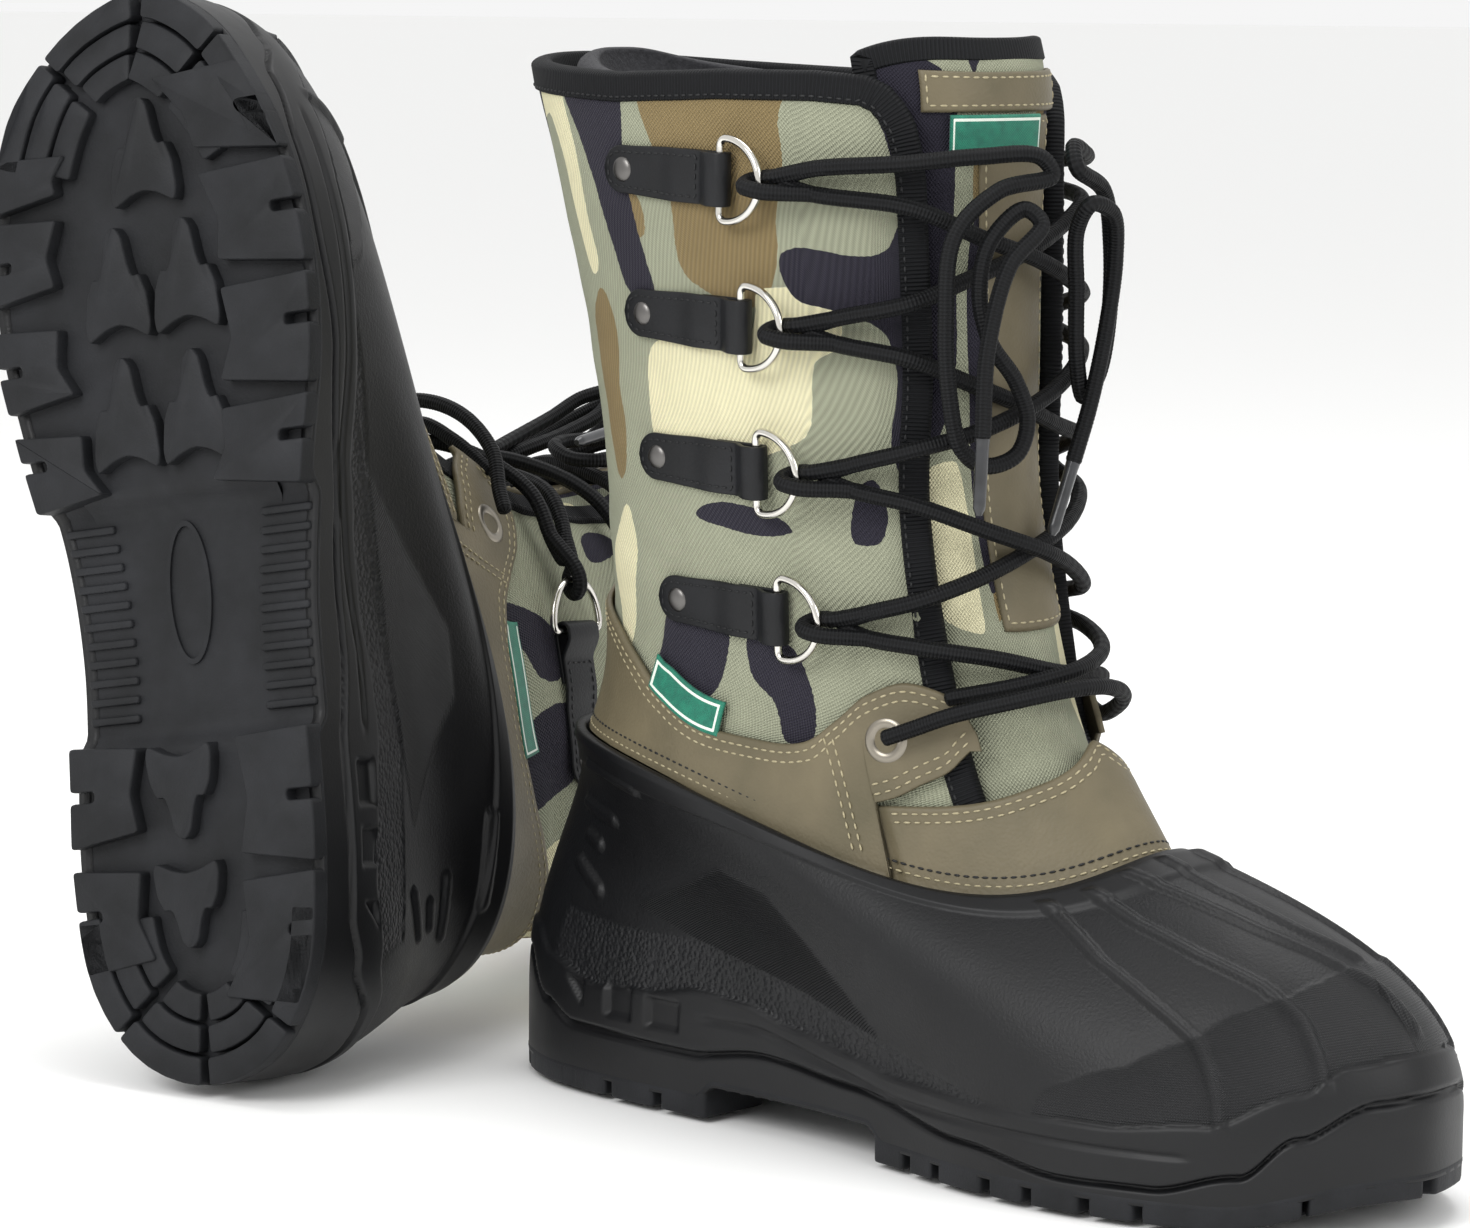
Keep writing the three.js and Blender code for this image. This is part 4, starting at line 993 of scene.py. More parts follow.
def shellRelief(u, v, x, y, z):
    # Outward relief of the shell in millimetres, and where each grain lies.
    share = alongSole(x)
    look = shellLook
    seam, top = between(seamStations, share), between(bandStations, share)
    out = look["bandProud"] * smooth(seam - 0.2, seam + 1.2, z) * (1 - smooth(top - 0.8, top + 0.8, z))
    out += look["weltProud"] * (1 - smooth(seam - 1.4, seam - 0.2, z))
    out -= look["seamDeep"] * np.exp(-((z - seam) / 0.75) ** 2)
    gx, gz = np.array(look["groove"], float).T
    inGroove = smooth(92, 97, x) * (1 - smooth(268, 276, x))
    out -= look["grooveDeep"] * inGroove * np.exp(-((z - np.interp(x, gx, gz)) / 0.8) ** 2)
    for corners in look["windows"]:
        out -= look["windowDeep"] * smooth(-0.5, 0.9, toPolygon(x, z, corners))
    for line in look["heelRibs"]:
        out += look["heelRibHigh"] * ridge(toLine(x, z, line), look["heelRibWide"]) * (x < 80)
    edge = np.interp(np.abs(np.mod(u + 0.5, 1) - 0.5), *np.array(look["rimEdge"]).T)
    out += look["rimProud"] * smooth(edge - 0.012, edge + 0.012, v) * (1 - 0.6 * smooth(0.975, 1, v))
    uc = np.mod(u + 0.5, 1) - 0.5
    for rib in look["toeRibs"]:
        ru, rv = np.array(rib[::-1], float).T
        middle = np.interp(v, rv, ru)
        radius = np.interp(v, [0, 1], [150, 82])
        ends = smooth(rv[0] - 0.05, rv[0] + 0.02, v) * (1 - smooth(rv[-1] - 0.01, rv[-1] + 0.02, v))
        away = np.abs(uc - middle) * 2 * math.pi * radius * 0.78
        out += look["ribHigh"] * ends * ridge(away, look["ribWide"])
    cy, cx = np.array(look["capEdge"], float).T
    cap = x - np.interp(np.abs(y), cy, cx)
    isCap = smooth(-0.6, 0.6, cap) * (z > top + 1)
    out += look["capProud"] * isCap
    hatch = smooth(-0.5, 0.5, toPolygon(x, z, look["hatch"]))
    sand = smooth(-0.5, 0.5, toPolygon(x, z, look["sand"])) * (z > top + 0.4)
    out += look["hatchProud"] * hatch - look["sandDeep"] * sand
    plain = np.clip(smooth(top + 0.4, top - 0.4, z) + smooth(edge - 0.01, edge, v), 0, 1)
    return out, {"sand": sand, "knurl": isCap, "hatch": hatch * (1 - sand), "plain": plain}


def shellColumns():
    # Skin columns of the shell, closer together where the relief is fine.
    at = np.linspace(0, 1, 4001)
    centred = np.abs(np.mod(at + 0.5, 1) - 0.5)
    weight = 1 + 1.1 * (centred < 0.1) + 0.9 * ((centred > 0.34) & (centred < 0.44))
    run = np.concatenate([[0], np.cumsum((weight[1:] + weight[:-1]) / 2)])
    return np.interp(np.linspace(0, run[-1], 561), run, at)[:-1]


shellU = shellColumns()
for pair in boots:
    skirtShare = np.linspace(0, 1, 27)
    shellV = np.concatenate([np.linspace(low, high, count)[1:]
                             for low, high, count in ((0, 0.35, 40), (0.35, 0.8, 40), (0.8, 1, 34))])
    plan = np.stack(outlineAt(shellU), -1)
    root, foot = lugRoot(plan[:, 0]) - 0.4, featherHeight(plan[:, 0])
    outer = np.stack(outlineAt(shellU, 1.0), -1) - plan
    skirt = np.empty((27, len(shellU), 3))
    skirt[..., :2] = plan
    skirt[..., 2] = root + (foot - root) * skirtShare[:, None]
    skirtNormal = np.zeros_like(skirt)
    skirtNormal[..., :2] = outer
    grid, normals = onSkin(pair["skin"], shellU[None], shellV[:, None])
    even = onSkin(upright, shellU[None], shellV[:, None])[0]
    blendIn = smooth(0, 0.12, shellV)[:, None, None]
    normals = skirtNormal[:1] * (1 - blendIn) + normals * blendIn
    normals /= np.linalg.norm(normals, axis=-1, keepdims=True)
    points = np.concatenate([skirt, grid])
    normals = np.concatenate([skirtNormal, normals])
    even = np.concatenate([skirt, even])
    uu = np.broadcast_to(shellU, points.shape[:2])
    vv = np.concatenate([np.zeros((27, len(shellU))), np.broadcast_to(shellV[:, None], grid.shape[:2])])
    relief, grains = shellRelief(uu, vv, *np.moveaxis(even, -1, 0))
    points = points + normals * relief[..., None]
    inner = np.stack([under(pair["skin"], shellU, v, depth) for v, depth in
                      ((1, 0.35), (1, 2.2), (0.985, 2.7), (0.93, 2.8), (0.75, 2.8), (0.45, 2.8), (0.2, 2.8))])
    inner[0] += [0, 0, 0.3]
    inner[1] += [0, 0, 0.3]
    floorRing = np.stack([*outlineAt(shellU, -3.2), featherHeight(outlineAt(shellU, -3.2)[0]) + 4], -1)
    floorLow = np.stack([*outlineAt(shellU, -3.2), root + 0.3], -1)
    underRim = np.stack([*outlineAt(shellU, -1.5), root], -1)
    everything = np.concatenate([points, inner, floorRing[None], floorLow[None], underRim[None]])
    rows, count = everything.shape[:2]
    quads = gridQuads(rows + 1, count, wrap=True) % (rows * count)
    extra = np.zeros((len(inner) + 3, count))
    fields = {key: np.concatenate([value, extra]).ravel() for key, value in grains.items()}
    across = runLengths(even, 1)
    along = runLengths(even, 0)
    mapped = np.stack([across, along], -1)
    mapped = np.concatenate([mapped, np.repeat(mapped[-1:], len(inner) + 3, 0)]).reshape(-1, 2)
    shell = makePiece(f"{pair['side']}_mouldedShell", placed(pair, everything.reshape(-1, 3)), quads,
                      uv=mapped, flip=pair["flip"], fields=fields)
    finish(shell, pair["body"], finishes["shell"], [f"{pair['side']}_rubber_shell"])
print("shells made")


# Outsole: a slab with its tread of lugs
tread = {
    "bevel": 0.7, "lateralDepth": 30.0, "medialDepth": 24.0, "waistPitch": 5.5, "waistLong": 18.0,
    "lateral": [(0.92, 0.833, 0.876), (0.826, 0.728, 0.781), (0.72, 0.619, 0.678), (0.611, 0.53, 0.575)],
    "medial": [(0.863, 0.811, None), (0.805, 0.726, 0.762), (0.704, 0.625, 0.665), (0.604, 0.53, 0.575)],
    "heelLateral": [(0.315, 0.192, 0.253), (0.185, 0.064, 0.133)],
    "heelMedial": [(0.313, 0.219, 0.267), (0.2, 0.102, 0.157)],
    "claws": [(0.9, 0.8, 0.0, 1), (0.785, 0.68, 12.5, 1), (0.785, 0.68, -12.5, 1), (0.665, 0.56, 12.5, 1),
              (0.665, 0.56, -12.5, 1), (0.309, 0.221, 2.0, -1), (0.202, 0.122, 2.0, -1)],
}


def sideAt(share, sign, grow=0.0):
    # y of the outline at a share of the length, on the inner (+1) or outer (-1) side.
    half = np.linspace(0, 0.5, 400) * sign
    x, y = outlineAt(half, grow)
    order = np.argsort(x)
    return np.interp(boot["heelEnd"] + share * boot["soleLength"], x[order], y[order])


def lugMesh(corners, top, root, bevel):
    # One closed lug: its plan corners run anticlockwise seen from above; the wearing face is at the bottom.
    corners = np.asarray(corners, float)
    n = len(corners)
    ahead, behind = np.roll(corners, -1, 0) - corners, corners - np.roll(corners, 1, 0)
    normal = np.stack([ahead[:, 1] + behind[:, 1], -(ahead[:, 0] + behind[:, 0])], -1)
    normal /= np.maximum(np.linalg.norm(normal, axis=1, keepdims=True), 1e-6)
    rings = []
    for inset, stage in ((0, "root"), (0.1, "low"), (0.28, "edge"), (0.62, "face")):
        plan = corners - normal * inset
        base, face = root(plan[:, 0]), top(plan[:, 0], plan[:, 1])
        z = {"root": base, "low": face + bevel + 0.2, "edge": face + bevel * 0.3, "face": face}[stage]
        rings.append(np.column_stack([plan, z]))
    points = np.concatenate(rings)
    quads = gridQuads(4, n, wrap=True)[:, ::-1]
    return points, quads, [list(range(n - 1, -1, -1))[::-1], [3 * n + k for k in range(n)][::-1]]


def roundedPlan(corners, radius=1.2, steps=3):
    # Plan corners with small arcs instead of points.
    corners = np.asarray(corners, float)
    out = []
    for before, here, after in zip(np.roll(corners, 1, 0), corners, np.roll(corners, -1, 0)):
        a, b = before - here, after - here
        la, lb = np.linalg.norm(a), np.linalg.norm(b)
        r = min(radius, la * 0.45, lb * 0.45)
        start, end = here + a / la * r, here + b / lb * r
        for t in np.linspace(0, 1, steps):
            out.append((1 - t) ** 2 * start + 2 * t * (1 - t) * here + t * t * end)
    return np.array(out)


def anticlockwise(corners):
    corners = np.asarray(corners, float)
    x, y = corners.T
    area = np.sum(x * np.roll(y, -1) - np.roll(x, -1) * y)
    return corners if area > 0 else corners[::-1]


def perimeterLug(front, back, slot, sign, depth):
    # A lug on the sole's edge from share front to share back, with a slot in its outer edge.
    toX = lambda share: boot["heelEnd"] + share * boot["soleLength"]
    half = 1.5 / boot["soleLength"]
    edges = [(front, slot + half), (slot - half, back)] if slot else [(front, back)]
    outer = []
    for k, (first, last) in enumerate(edges):
        run = [(toX(share), sideAt(share, sign, 1.0)) for share in np.linspace(first, last, 5)]
        if k:
            outer += [(outer[-1][0], outer[-1][1] - sign * 9), (run[0][0], run[0][1] - sign * 9)]
        outer += run
    wedge = 0.012
    centre = (front + back) / 2
    inner = [(toX(back + wedge), sideAt(back, sign) - sign * depth),
             (toX(centre), sideAt(centre, sign) - sign * (depth - 3)),
             (toX(front - wedge * 0.4), sideAt(front, sign) - sign * depth)]
    return roundedPlan(anticlockwise(outer + inner), 1.5, 4)


def scallop(first, last, inner, outer, steps=6):
    # A sector between two distances inside the outline, first and last being shares round it.
    around = np.linspace(first, last, steps)
    far = np.stack(outlineAt(around, 1.0 - outer), -1)
    near = np.stack(outlineAt(around, 1.0 - inner), -1)
    return roundedPlan(anticlockwise(np.concatenate([far, near[::-1]])), 1.5, 4)


def clawPlan(front, back, y, way):
    # A three-fingered claw in the middle of the sole, fingers towards way.
    length = (front - back) * boot["soleLength"]
    middle = boot["heelEnd"] + (front + back) / 2 * boot["soleLength"]
    half = length / 2
    shape = [(-1, -11), (-0.75, -12), (-0.2, -11), (0.15, -8.5), (0.1, -6), (0.35, -4.6), (0.85, -3),
             (1, -0.8), (1, 0.8), (0.85, 3), (0.35, 4.6), (0.1, 6), (0.15, 8.5), (-0.2, 11), (-0.75, 12),
             (-1, 11), (-0.8, 5), (-0.72, 0), (-0.8, -5)]
    return roundedPlan(anticlockwise([(middle + way * half * a, y + b) for a, b in shape]), 1.5, 3)


def buildOutsole():
    parts = []

    def lug(plan, lift=0.0, root=None):
        root = root or (lambda x: lugRoot(x) + 0.8)
        parts.append(lugMesh(plan, lambda x, y: treadHeight(x) + lift, root, tread["bevel"]))

    for front, back, slot in tread["lateral"] + tread["heelLateral"]:
        lug(perimeterLug(front, back, slot, -1, tread["lateralDepth"] if front > 0.5 else 25))
    for front, back, slot in tread["medial"] + tread["heelMedial"]:
        lug(perimeterLug(front, back, slot, 1, tread["medialDepth"] if front > 0.5 else 24))
    for starts in ((-0.095, -0.049), (-0.047, -0.003), (0.003, 0.05), (0.052, 0.098),
                   (0.404, 0.452), (0.454, 0.498), (0.502, 0.546), (0.548, 0.597)):
        for band in range(3):
            inset = 0.0015 * band
            lug(scallop(starts[0] + inset, starts[1] - inset, 0 + 9.2 * band, 9.2 * band + 8.4), 0.6 * band)
    for front, back, y, way in tread["claws"]:
        lug(clawPlan(front, back, y, way), 0.5)
    waistStart, waistEnd = 0.327, 0.52
    count = int((waistEnd - waistStart) * boot["soleLength"] / tread["waistPitch"])
    for k in range(count):
        share = waistStart + (k + 0.5) / count * (waistEnd - waistStart)
        for sign in (-1, 1):
            x, edge = boot["heelEnd"] + share * boot["soleLength"], sideAt(share, sign, -1.0)
            low = edge - sign * tread["waistLong"]
            rib = [(x - 1.3, edge), (x + 1.3, edge), (x + 1.3, low), (x - 1.3, low)]
            plan = roundedPlan(anticlockwise(rib), 1.0, 3)
            root = lambda xs: lugRoot(xs) + 0.8
            parts.append(lugMesh(plan, lambda xs, ys: lugRoot(xs) - 1.4, root, 0.5))
    badge = boot["heelEnd"] + 0.446 * boot["soleLength"]
    oval, ovalIn = ([(badge + long * math.cos(a), wide * math.sin(a))
                     for a in np.linspace(0, 2 * math.pi, 49)[:-1]] for long, wide in ((21, 8), (19.4, 6.6)))
    ringPoints, ringQuads = [], None
    for plan, lift in ((ovalIn, 0.8), (ovalIn, -0.9), (oval, -0.9), (oval, 0.8)):
        plan = np.array(plan)
        ringPoints.append(np.column_stack([plan, lugRoot(plan[:, 0]) + lift]))
    parts.append((np.concatenate(ringPoints), gridQuads(5, 48, wrap=True)[:, ::-1] % 192, []))
    u = np.linspace(0, 1, 361)[:-1]
    slabRings = []
    for grow, lift in ((-12.0, 3.0), (-2.0, 3.0), (0.6, 2.0), (1.0, 1.2), (1.0, 0.4), (0.4, 0.0),
                       (-12.0, 0.0)):
        x, y = outlineAt(u, grow)
        slabRings.append(np.column_stack([x, y, lugRoot(outlineAt(u)[0]) + lift]))
    slab = np.concatenate(slabRings)
    n = len(u)
    quads = [gridQuads(len(slabRings), n, wrap=True)[:, ::-1]]
    grid = np.stack(slabRings)
    inner = []
    for row, back in ((0, True), (len(slabRings) - 1, False)):
        left, right = np.arange(0, n // 2 + 1), (-np.arange(0, n // 2 + 1)) % n
        across = []
        for step in np.linspace(0, 1, 9):
            p = grid[row][left] * (1 - step) + grid[row][right] * step
            p[:, 2] = lugRoot(p[:, 0]) + (3.0 if back else 0.0)
            across.append(p)
        sheet = np.stack(across)
        start = len(slab) + sum(len(s) for s in inner)
        inner.append(sheet.reshape(-1, 3))
        quads.append(gridQuads(9, n // 2 + 1, start=start)[:, ::(1 if back else -1)])
    parts.append((np.concatenate([slab] + inner), np.concatenate(quads), []))
    return parts


def joined(parts):
    points, quads, ngons, start = [], [], [], 0
    for p, q, faces in parts:
        points.append(p)
        quads.append(np.asarray(q, int).reshape(-1, 4) + start)
        ngons += [[start + k for k in face] for face in faces]
        start += len(p)
    return np.concatenate(points), np.concatenate(quads), ngons


treadPoints, treadQuads, treadFaces = joined(buildOutsole())
for pair in boots:
    outsole = makePiece(f"{pair['side']}_lugOutsole", placed(pair, treadPoints), treadQuads, ngons=treadFaces,
                        flip=pair["flip"], sharp=48)
    finish(outsole, pair["body"], finishes["sole"], [f"{pair['side']}_outsole"])
print("outsoles made")


# Cloth and leather layers that lie on the boot's form
def skinPatch(pair, name, u, v, outer, inner, fields=None):
    # A closed layer over grids of skin parameters: outer and inner are depths below the skin.
    outer, inner = (np.broadcast_to(np.asarray(d, float), u.shape) for d in (outer, inner))
    top, low = under(pair["skin"], u, v, outer), under(pair["skin"], u, v, inner)
    rows, columns = u.shape
    size = rows * columns
    quads = [gridQuads(rows, columns), gridQuads(rows, columns, start=size)[:, ::-1]]
    grid = np.arange(size).reshape(rows, columns)
    rim = np.concatenate([grid[0], grid[1:, -1], grid[-1][:-1][::-1], grid[:-1, 0][::-1]])[::-1]
    points = np.concatenate([top.reshape(-1, 3), low.reshape(-1, 3)])
    quads.append(np.stack([rim[:-1], rim[1:], rim[1:] + size, rim[:-1] + size], -1))
    flat = onSkin(upright, u, v)[0]
    mapped = np.tile(np.stack([runLengths(flat, 1), runLengths(flat, 0)], -1).reshape(-1, 2), (2, 1))
    fields = {key: np.tile(np.asarray(value).ravel(), 2) for key, value in (fields or {}).items()}
    return makePiece(f"{pair['side']}_{name}", placed(pair, points), np.concatenate(quads), uv=mapped,
                     flip=pair["flip"], fields=fields)


def lineInside(piece, shape):
    # Give the inner side of a layer made over a grid of this shape the lining cloth.
    faces = (shape[0] - 1) * (shape[1] - 1)
    piece.data.materials.append(finishes["lining"])
    index = np.zeros(len(piece.data.polygons), np.int32)
    index[faces:2 * faces] = 1
    piece.data.polygons.foreach_set("material_index", index)


def softEdge(distance, width, rounding):
    # Extra depth that rounds a layer off towards its edges; distance is millimetres from the edge.
    t = np.clip(1 - distance / width, 0, 1)
    return rounding * (1 - np.sqrt(np.clip(1 - t * t, 0, 1)))


def noiseAt(points, size, seed):
    # Smooth random values from -1 to 1 at points, features about size millimetres.
    out = np.zeros(points.shape[:-1])
    random = np.random.default_rng(seed)
    for _ in range(9):
        way = random.normal(size=3)
        way *= random.uniform(0.6, 1.5) * 2 * math.pi / (size * 2.2 * np.linalg.norm(way))
        out += np.sin(points @ way + random.uniform(0, 6.28))
    return out / 3.2


# Camouflage inks of the outer side as outlines in skin share and height, then random ones elsewhere
camouflage = {
    "navy": [
        [(0.672, 300), (0.709, 300), (0.714, 268), (0.726, 244), (0.726, 231), (0.700, 231), (0.684, 262)],
        [(0.845, 300), (0.875, 287), (0.878, 250), (0.807, 247), (0.812, 235), (0.84, 231), (0.874, 225),
         (0.88, 196), (0.898, 186), (0.93, 205), (0.93, 300)],
        [(0.76, 172), (0.772, 178), (0.80, 175), (0.82, 170), (0.80, 167), (0.775, 168)],
        [(0.858, 168), (0.862, 184), (0.872, 186), (0.882, 176), (0.876, 168)],
        [(0.745, 121), (0.748, 141), (0.765, 148), (0.788, 143), (0.792, 124), (0.772, 117)],
        [(0.806, 139), (0.824, 137), (0.838, 124), (0.839, 112), (0.826, 110), (0.82, 122), (0.808, 128)]],
    "cream": [
        [(0.716, 193), (0.714, 218), (0.75, 222), (0.776, 224), (0.785, 238), (0.82, 238), (0.842, 232),
         (0.838, 222), (0.822, 218), (0.82, 196), (0.79, 190), (0.74, 189)],
        [(0.90, 186), (0.945, 192), (0.95, 150), (0.925, 146), (0.908, 150)],
        [(0.62, 300), (0.652, 300), (0.668, 262), (0.668, 238), (0.655, 236), (0.636, 262)],
        [(0.664, 158), (0.69, 172), (0.706, 158), (0.711, 134), (0.70, 124), (0.676, 138)]],
    "brown": [
        [(0.742, 303), (0.824, 303), (0.812, 281), (0.806, 262), (0.8056, 246), (0.785, 233), (0.752, 235),
         (0.744, 260)],
        [(0.664, 232), (0.676, 214), (0.69, 196), (0.676, 180), (0.652, 196), (0.648, 222)],
        [(0.712, 262), (0.727, 262), (0.727, 250), (0.716, 248)]],
}


def printInk(u, v, seed):
    # Signed distances to each ink, positive inside, in millimetres.
    points = onSkin(upright, u, v)[0]
    share, z = np.mod(u, 1), points[..., 2]
    girth = 360.0
    lateral = smooth(0.62, 0.655, share) * (1 - smooth(0.945, 0.965, share)) * (share > 0.5)
    inks = {}
    for k, (ink, cut, size) in enumerate((("brown", 0.42, 34), ("cream", 0.62, 32), ("navy", 0.46, 30))):
        wobble = noiseAt(points, 16, seed + 50 + k)
        stretch = points * [1, 1, 0.62]
        free = (noiseAt(stretch, size, seed + k) - cut) * size * 0.62 + wobble * 1.0
        drawn = np.full(u.shape, -1e3)
        for outline in camouflage[ink]:
            knots = np.array(outline) * [girth, 1]
            corners = splineThrough(knots, np.linspace(0, 1, 5 * len(knots) + 1)[:-1], True).tolist()
            drawn = np.maximum(drawn, toPolygon(share * girth, z, corners))
        drawn += wobble * 1.6
        inks[ink] = drawn * lateral + free * (1 - lateral)
    return inks


def panelGrid(stationsU, lowV, highV, rows):
    t = np.linspace(0, 1, rows)[:, None]
    return np.broadcast_to(stationsU, (rows, len(stationsU))).copy(), lowV * (1 - t) + highV * t


shaftLook = {"flap": 0.092, "ripple": 1.3, "columns": 300, "rows": 165}


def shaftTopLevel(u):
    # The flap's top edge: level round the back, rounded down over the front corners.
    fold = np.abs(np.mod(u + 0.5, 1) - 0.5)
    return np.interp(fold, [0.090, 0.0925, 0.096, 0.101, 0.109, 0.118, 0.131, 0.165, 0.224, 0.278, 0.5],
                     [1.66, 1.72, 1.757, 1.79, 1.816, 1.838, 1.852, 1.857, 1.854, 1.843, 1.85])


def rippleAt(pair, u, v):
    # Soft creases of the cloth, deeper at the ankle.
    points = onSkin(upright, u, v)[0]
    ankle = np.exp(-((points[..., 2] - 150) / 34) ** 2)
    seed = 11 if pair["side"] == "right" else 23
    broad = noiseAt(points * [0.8, 0.8, 1.6], 34, seed)
    fine = noiseAt(points * [1, 1, 1.8], 14, seed + 1)
    return shaftLook["ripple"] * (0.35 + 0.65 * ankle) * (0.55 * broad + 0.25 * fine)


def tapeAlong(pair, name, u, v, depth, fold):
    # Tape folded over a cloth edge that runs along skin parameters; fold holds its section in millimetres.
    point, normal = onSkin(pair["skin"], u, v)
    middle = point - normal * depth
    way = np.gradient(middle, axis=0)
    way /= np.linalg.norm(way, axis=1, keepdims=True)
    outward = np.cross(normal, way)
    outward *= -1 if outward[len(outward) // 2][2] < 0 else 1
    half, grip, wide = fold["half"], fold["grip"], fold["half"] + fold["flare"]
    section = [(0.2 + fold["lip"] * math.cos(a), half * math.sin(a))
               for a in np.radians(np.linspace(-90, 90, fold["steps"]))]
    section += [(-grip, wide), (-grip - 0.4, half - 0.6), (-grip - 0.4, 0.6 - half), (-grip, -wide)]
    section = np.array(section)
    rings = middle[:, None] + outward[:, None] * section[None, :, :1] + normal[:, None] * section[None, :, 1:]
    points, quads = closedRings(rings)
    run = np.concatenate([[0], np.cumsum(np.linalg.norm(np.diff(middle, axis=0), axis=1))])
    uv = np.stack(np.broadcast_arrays(run[:, None], np.arange(len(section)) * 1.0), -1).reshape(-1, 2)
    tape = makePiece(f"{pair['side']}_{name}", placed(pair, points), quads, uv=uv, flip=pair["flip"],
                     sharp=50)
    finish(tape, pair["body"], finishes["binding"])
    return middle, outward, normal


for pair in boots:
    u = np.linspace(shaftLook["flap"], 1 - shaftLook["flap"], shaftLook["columns"])
    high = shaftTopLevel(u)
    uu, vv = panelGrid(u, np.full(len(u), 0.95), high, shaftLook["rows"])
    flat = onSkin(upright, uu, vv)[0]
    edgeRun = np.minimum(runLengths(flat, 1), runLengths(flat[:, ::-1], 1)[:, ::-1])
    quiet = smooth(0, 14, edgeRun) * smooth(0, 10, runLengths(flat[::-1], 0)[::-1]) * smooth(1.02, 1.12, vv)
    bulge = rippleAt(pair, uu, vv) * quiet
    outer = depths["shaft"] - bulge
    inner = np.full(uu.shape, depths["shaft"] + depths["shaftThickness"])
    inks = printInk(uu, vv, 3)
    canvasPatch = skinPatch(pair, "printedShaft", uu, vv, outer, inner, fields=inks)
    finish(canvasPatch, pair["body"], finishes["canvas"], [f"{pair['side']}_shaft"])
    lineInside(canvasPatch, uu.shape)

    # binding tape round the flap's two front edges and the top
    half = []
    for share in np.linspace(1.02, 1.66, 90):
        half.append((shaftLook["flap"], share))
    corner = [0.0921, 0.0925, 0.0935, 0.096, 0.0985, 0.101, 0.105, 0.109, 0.1135, 0.118, 0.124]
    for fold in np.concatenate([corner, np.linspace(0.131, 0.5, 150)]):
        half.append((fold, float(shaftTopLevel(np.array(fold)))))
    path = np.array(half + [(1 - a, b) for a, b in half[:-1][::-1]])
    half = depths["shaftThickness"] / 2
    fold = {"half": half + 0.75, "lip": 1.7, "steps": 11, "grip": 6.2, "flare": 0.1}
    middle, outward, normal = tapeAlong(pair, "flapBinding", path[:, 0], path[:, 1], depths["shaft"] + half,
                                        fold)
    stitch = middle - outward * 5.2 + normal * (half + 0.75 + 0.15)
    stitchRows[pair["side"]]["black"].append((stitch, normal))

    # tongue: cloth with a leather strip, a leather band, a bound top and a label
    edgeU = 5 / 36
    tongueU = np.linspace(-edgeU, edgeU, 150)
    top = heightOf(boot["tongueHeight"] - 3 - 55 * (tongueU / edgeU) ** 4 * 0.12, tongueU % 1)
    uu, vv = panelGrid(tongueU, np.full(150, 1 + 0.3 / 7), top, 190)
    soft = noiseAt(onSkin(upright, uu % 1, vv)[0], 26, 31) * 0.5
    inks = printInk(uu % 1, vv, 40)
    tongueOuter = depths["tongue"] - soft * smooth(1.05, 1.15, vv)
    tongueInner = depths["tongue"] + depths["tongueThickness"]
    tongue = skinPatch(pair, "tongueCloth", uu, vv, tongueOuter, tongueInner, fields=inks)
    finish(tongue, pair["body"], finishes["canvas"], [f"{pair['side']}_tongue"])
    lineInside(tongue, uu.shape)

    def tongueBand(name, leftU, rightU, lowZ, highZ, lift, thick, material, rows=40, columns=24,
                   fields=None, stitched=2.0):
        acrossU = np.linspace(leftU, rightU, columns)
        low, highLevels = (heightOf(np.full(columns, z), acrossU % 1) for z in (lowZ, highZ))
        gu, gv = panelGrid(acrossU, low, highLevels, rows)
        shape = onSkin(upright, gu, gv)[0]
        toEdge = np.minimum(np.minimum(runLengths(shape, 1), runLengths(shape[:, ::-1], 1)[:, ::-1]),
                          np.minimum(runLengths(shape, 0), runLengths(shape[::-1], 0)[::-1]))
        d = depths["tongue"] - lift + softEdge(toEdge, 1.0, thick * 0.55) - noiseAt(shape, 26, 31) * 0.45
        values = {"frameLine": ((toEdge > 1.0) & (toEdge < 1.7)).astype(float)} if fields else None
        piece = skinPatch(pair, name, gu, gv, d, d + thick, fields=values)
        finish(piece, pair["body"], material)
        if stitched:
            inset = stitched
            yl = (rightU - leftU) * inset / max(shape[0, :, 1].max() - shape[0, :, 1].min(), 1)
            loopU = np.concatenate([np.linspace(leftU + yl, rightU - yl, 40), np.full(60, rightU - yl),
                                    np.linspace(rightU - yl, leftU + yl, 40), np.full(60, leftU + yl)])
            loopZ = np.concatenate([np.full(40, lowZ + inset), np.linspace(lowZ + inset, highZ - inset, 60),
                                    np.full(40, highZ - inset), np.linspace(highZ - inset, lowZ + inset, 60)])
            loopV = heightOf(loopZ, loopU % 1)
            p, n = onSkin(pair["skin"], loopU, loopV)
            shape2 = onSkin(upright, loopU, loopV)[0]
            sunk = depths["tongue"] - lift - 0.05 - noiseAt(shape2, 26, 31) * 0.45
            stitchRows[pair["side"]]["pale"].append((p - n * sunk[:, None], n))
        return piece

    def uAtY(y, z):
        # Skin parameter round the front at y millimetres across, z millimetres up.
        us = np.linspace(-0.13, 0.13, 120)
        across = onSkin(upright, us, heightOf(np.full(len(us), z), us % 1))[0][:, 1]
        return float(np.interp(y, across, us))

